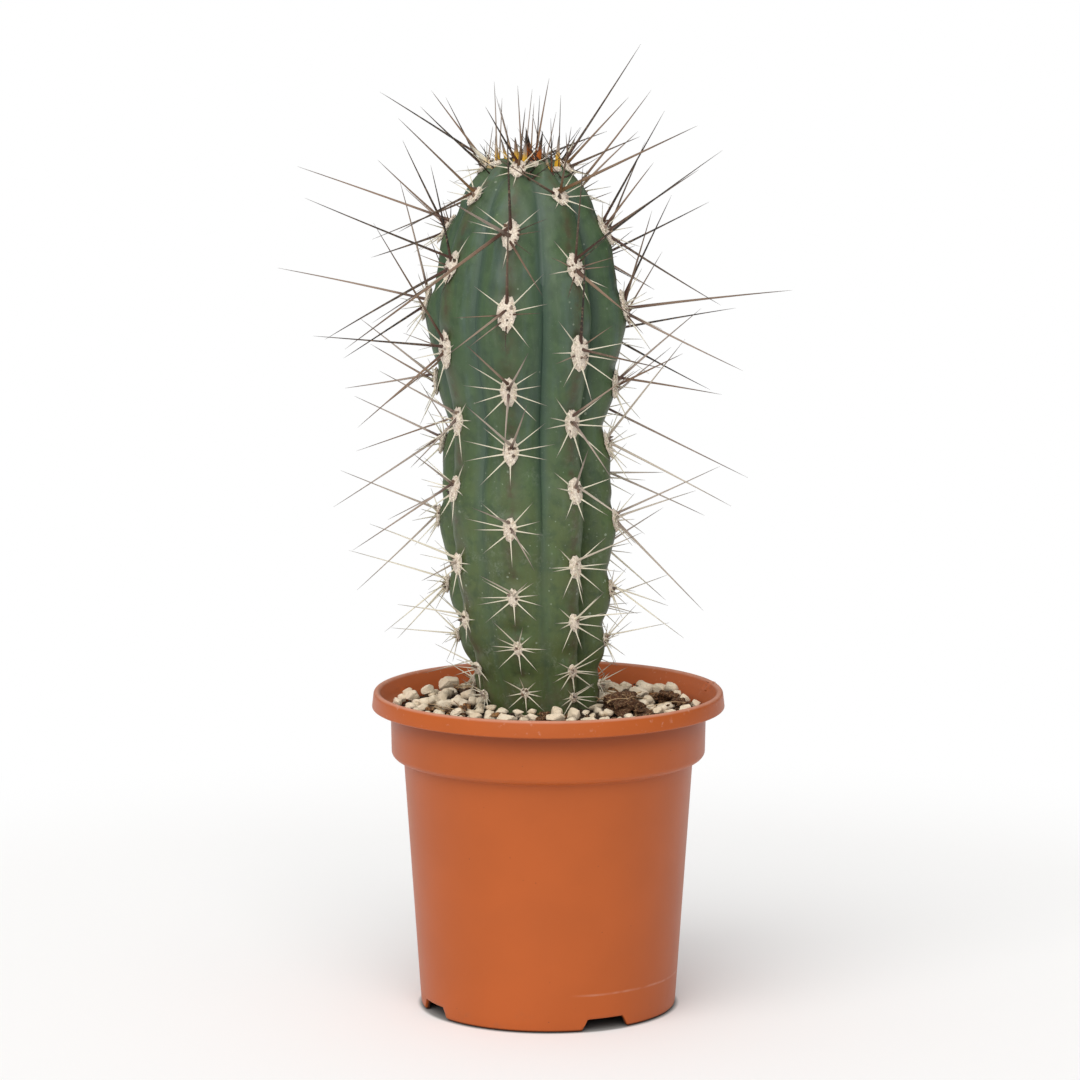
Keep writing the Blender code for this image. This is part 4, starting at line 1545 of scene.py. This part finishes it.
def white_surroundings(settings):
    """White to look at; as a light it is soft, strong overhead and weaker level with the floor."""
    s = Shader("white_surroundings", "worlds")
    direction = s.node("ShaderNodeTexCoord", output="Generated")
    up = s.node("ShaderNodeSeparateXYZ", None, (direction,), "Z")
    front = 0 - s.node("ShaderNodeSeparateXYZ", None, (direction,), "Y")
    right = s.node("ShaderNodeSeparateXYZ", None, (direction,), "X")
    glow = up.ramp(0, 0.8) * GLOW_UP + front.ramp(-0.2, 0.9) * GLOW_FRONT + GLOW_ROUND
    glow = glow - right.ramp(0, 1) * GLOW_LOST_RIGHT
    seen = s.node("ShaderNodeLightPath", output="Is Camera Ray")
    strength = seen + (1 - seen) * glow.clamp() * settings.sky
    background = s.tree.nodes["Background"]
    background.inputs["Color"].default_value = (1, 1, 1, 1)
    s.link(strength, background.inputs["Strength"])
    return s.owner


class POTTED_CACTUS_OT_stage(bpy.types.Operator):
    """Set the pale floor, soft light, white surroundings and the camera"""

    bl_idname = "potted_cactus.stage"
    bl_label = "Stage"

    def execute(self, context):
        settings = context.scene.potted_cactus.stage
        scene = context.scene
        scene.view_settings.view_transform = "Standard"
        scene.view_settings.look = "None"

        bm = bmesh.new()
        bmesh.ops.create_circle(bm, cap_ends=True, segments=96, radius=FLOOR_SIZE)
        mesh = bpy.data.meshes.new("floor")
        bm.to_mesh(mesh)
        bm.free()
        mesh.materials.append(pale_table(settings))
        floor = bpy.data.objects.new("floor", mesh)
        scene.collection.objects.link(floor)

        scene.world = white_surroundings(settings)
        sun = bpy.data.lights.new("soft_key", "SUN")
        sun.energy = settings.key
        sun.angle = settings.softness
        sun.color = KEY_COLOUR
        key = bpy.data.objects.new("soft_key", sun)
        key.rotation_euler = Vector(KEY_DIRECTION).to_track_quat("-Z", "Y").to_euler()
        scene.collection.objects.link(key)

        camera = bpy.data.cameras.new("camera")
        camera.sensor_width = CAMERA_SENSOR
        camera.lens = CAMERA_LENS
        camera.clip_start, camera.clip_end = CAMERA_CLIP
        obj = bpy.data.objects.new("camera", camera)
        obj.location = CAMERA_PLACE
        obj.rotation_euler = (radians(90 - CAMERA_PITCH), 0, 0)
        scene.collection.objects.link(obj)
        scene.camera = obj
        return {"FINISHED"}


class POTTED_CACTUS_PT_panel(bpy.types.Panel):
    """Lists the steps that build the plant"""

    bl_idname = "POTTED_CACTUS_PT_panel"
    bl_label = "Potted Cactus"
    bl_space_type = "VIEW_3D"
    bl_region_type = "UI"
    bl_category = "Potted Cactus"

    def draw(self, context):
        for step in STEPS:
            self.layout.operator(step.bl_idname)


STEPS = (
    POTTED_CACTUS_OT_stage,
    POTTED_CACTUS_OT_pot,
    POTTED_CACTUS_OT_soil,
    POTTED_CACTUS_OT_stem,
    POTTED_CACTUS_OT_areoles,
    POTTED_CACTUS_OT_spines,
    POTTED_CACTUS_OT_dressing,
)
SETTINGS = (
    PotSettings, StemSettings, SpineSettings, DressingSettings, StageSettings, CactusSettings,
)


def register():
    for made in (*SETTINGS, *STEPS, POTTED_CACTUS_PT_panel):
        bpy.utils.register_class(made)
    bpy.types.Scene.potted_cactus = PointerProperty(type=CactusSettings)


def unregister():
    del bpy.types.Scene.potted_cactus
    for made in (POTTED_CACTUS_PT_panel, *reversed(STEPS), *reversed(SETTINGS)):
        bpy.utils.unregister_class(made)


def main():
    register()
    bpy.ops.potted_cactus.stage()
    bpy.ops.potted_cactus.pot()
    bpy.ops.potted_cactus.soil()
    bpy.ops.potted_cactus.stem()
    bpy.ops.potted_cactus.areoles()
    bpy.ops.potted_cactus.spines()
    bpy.ops.potted_cactus.dressing()


if __name__ == "__main__":
    main()
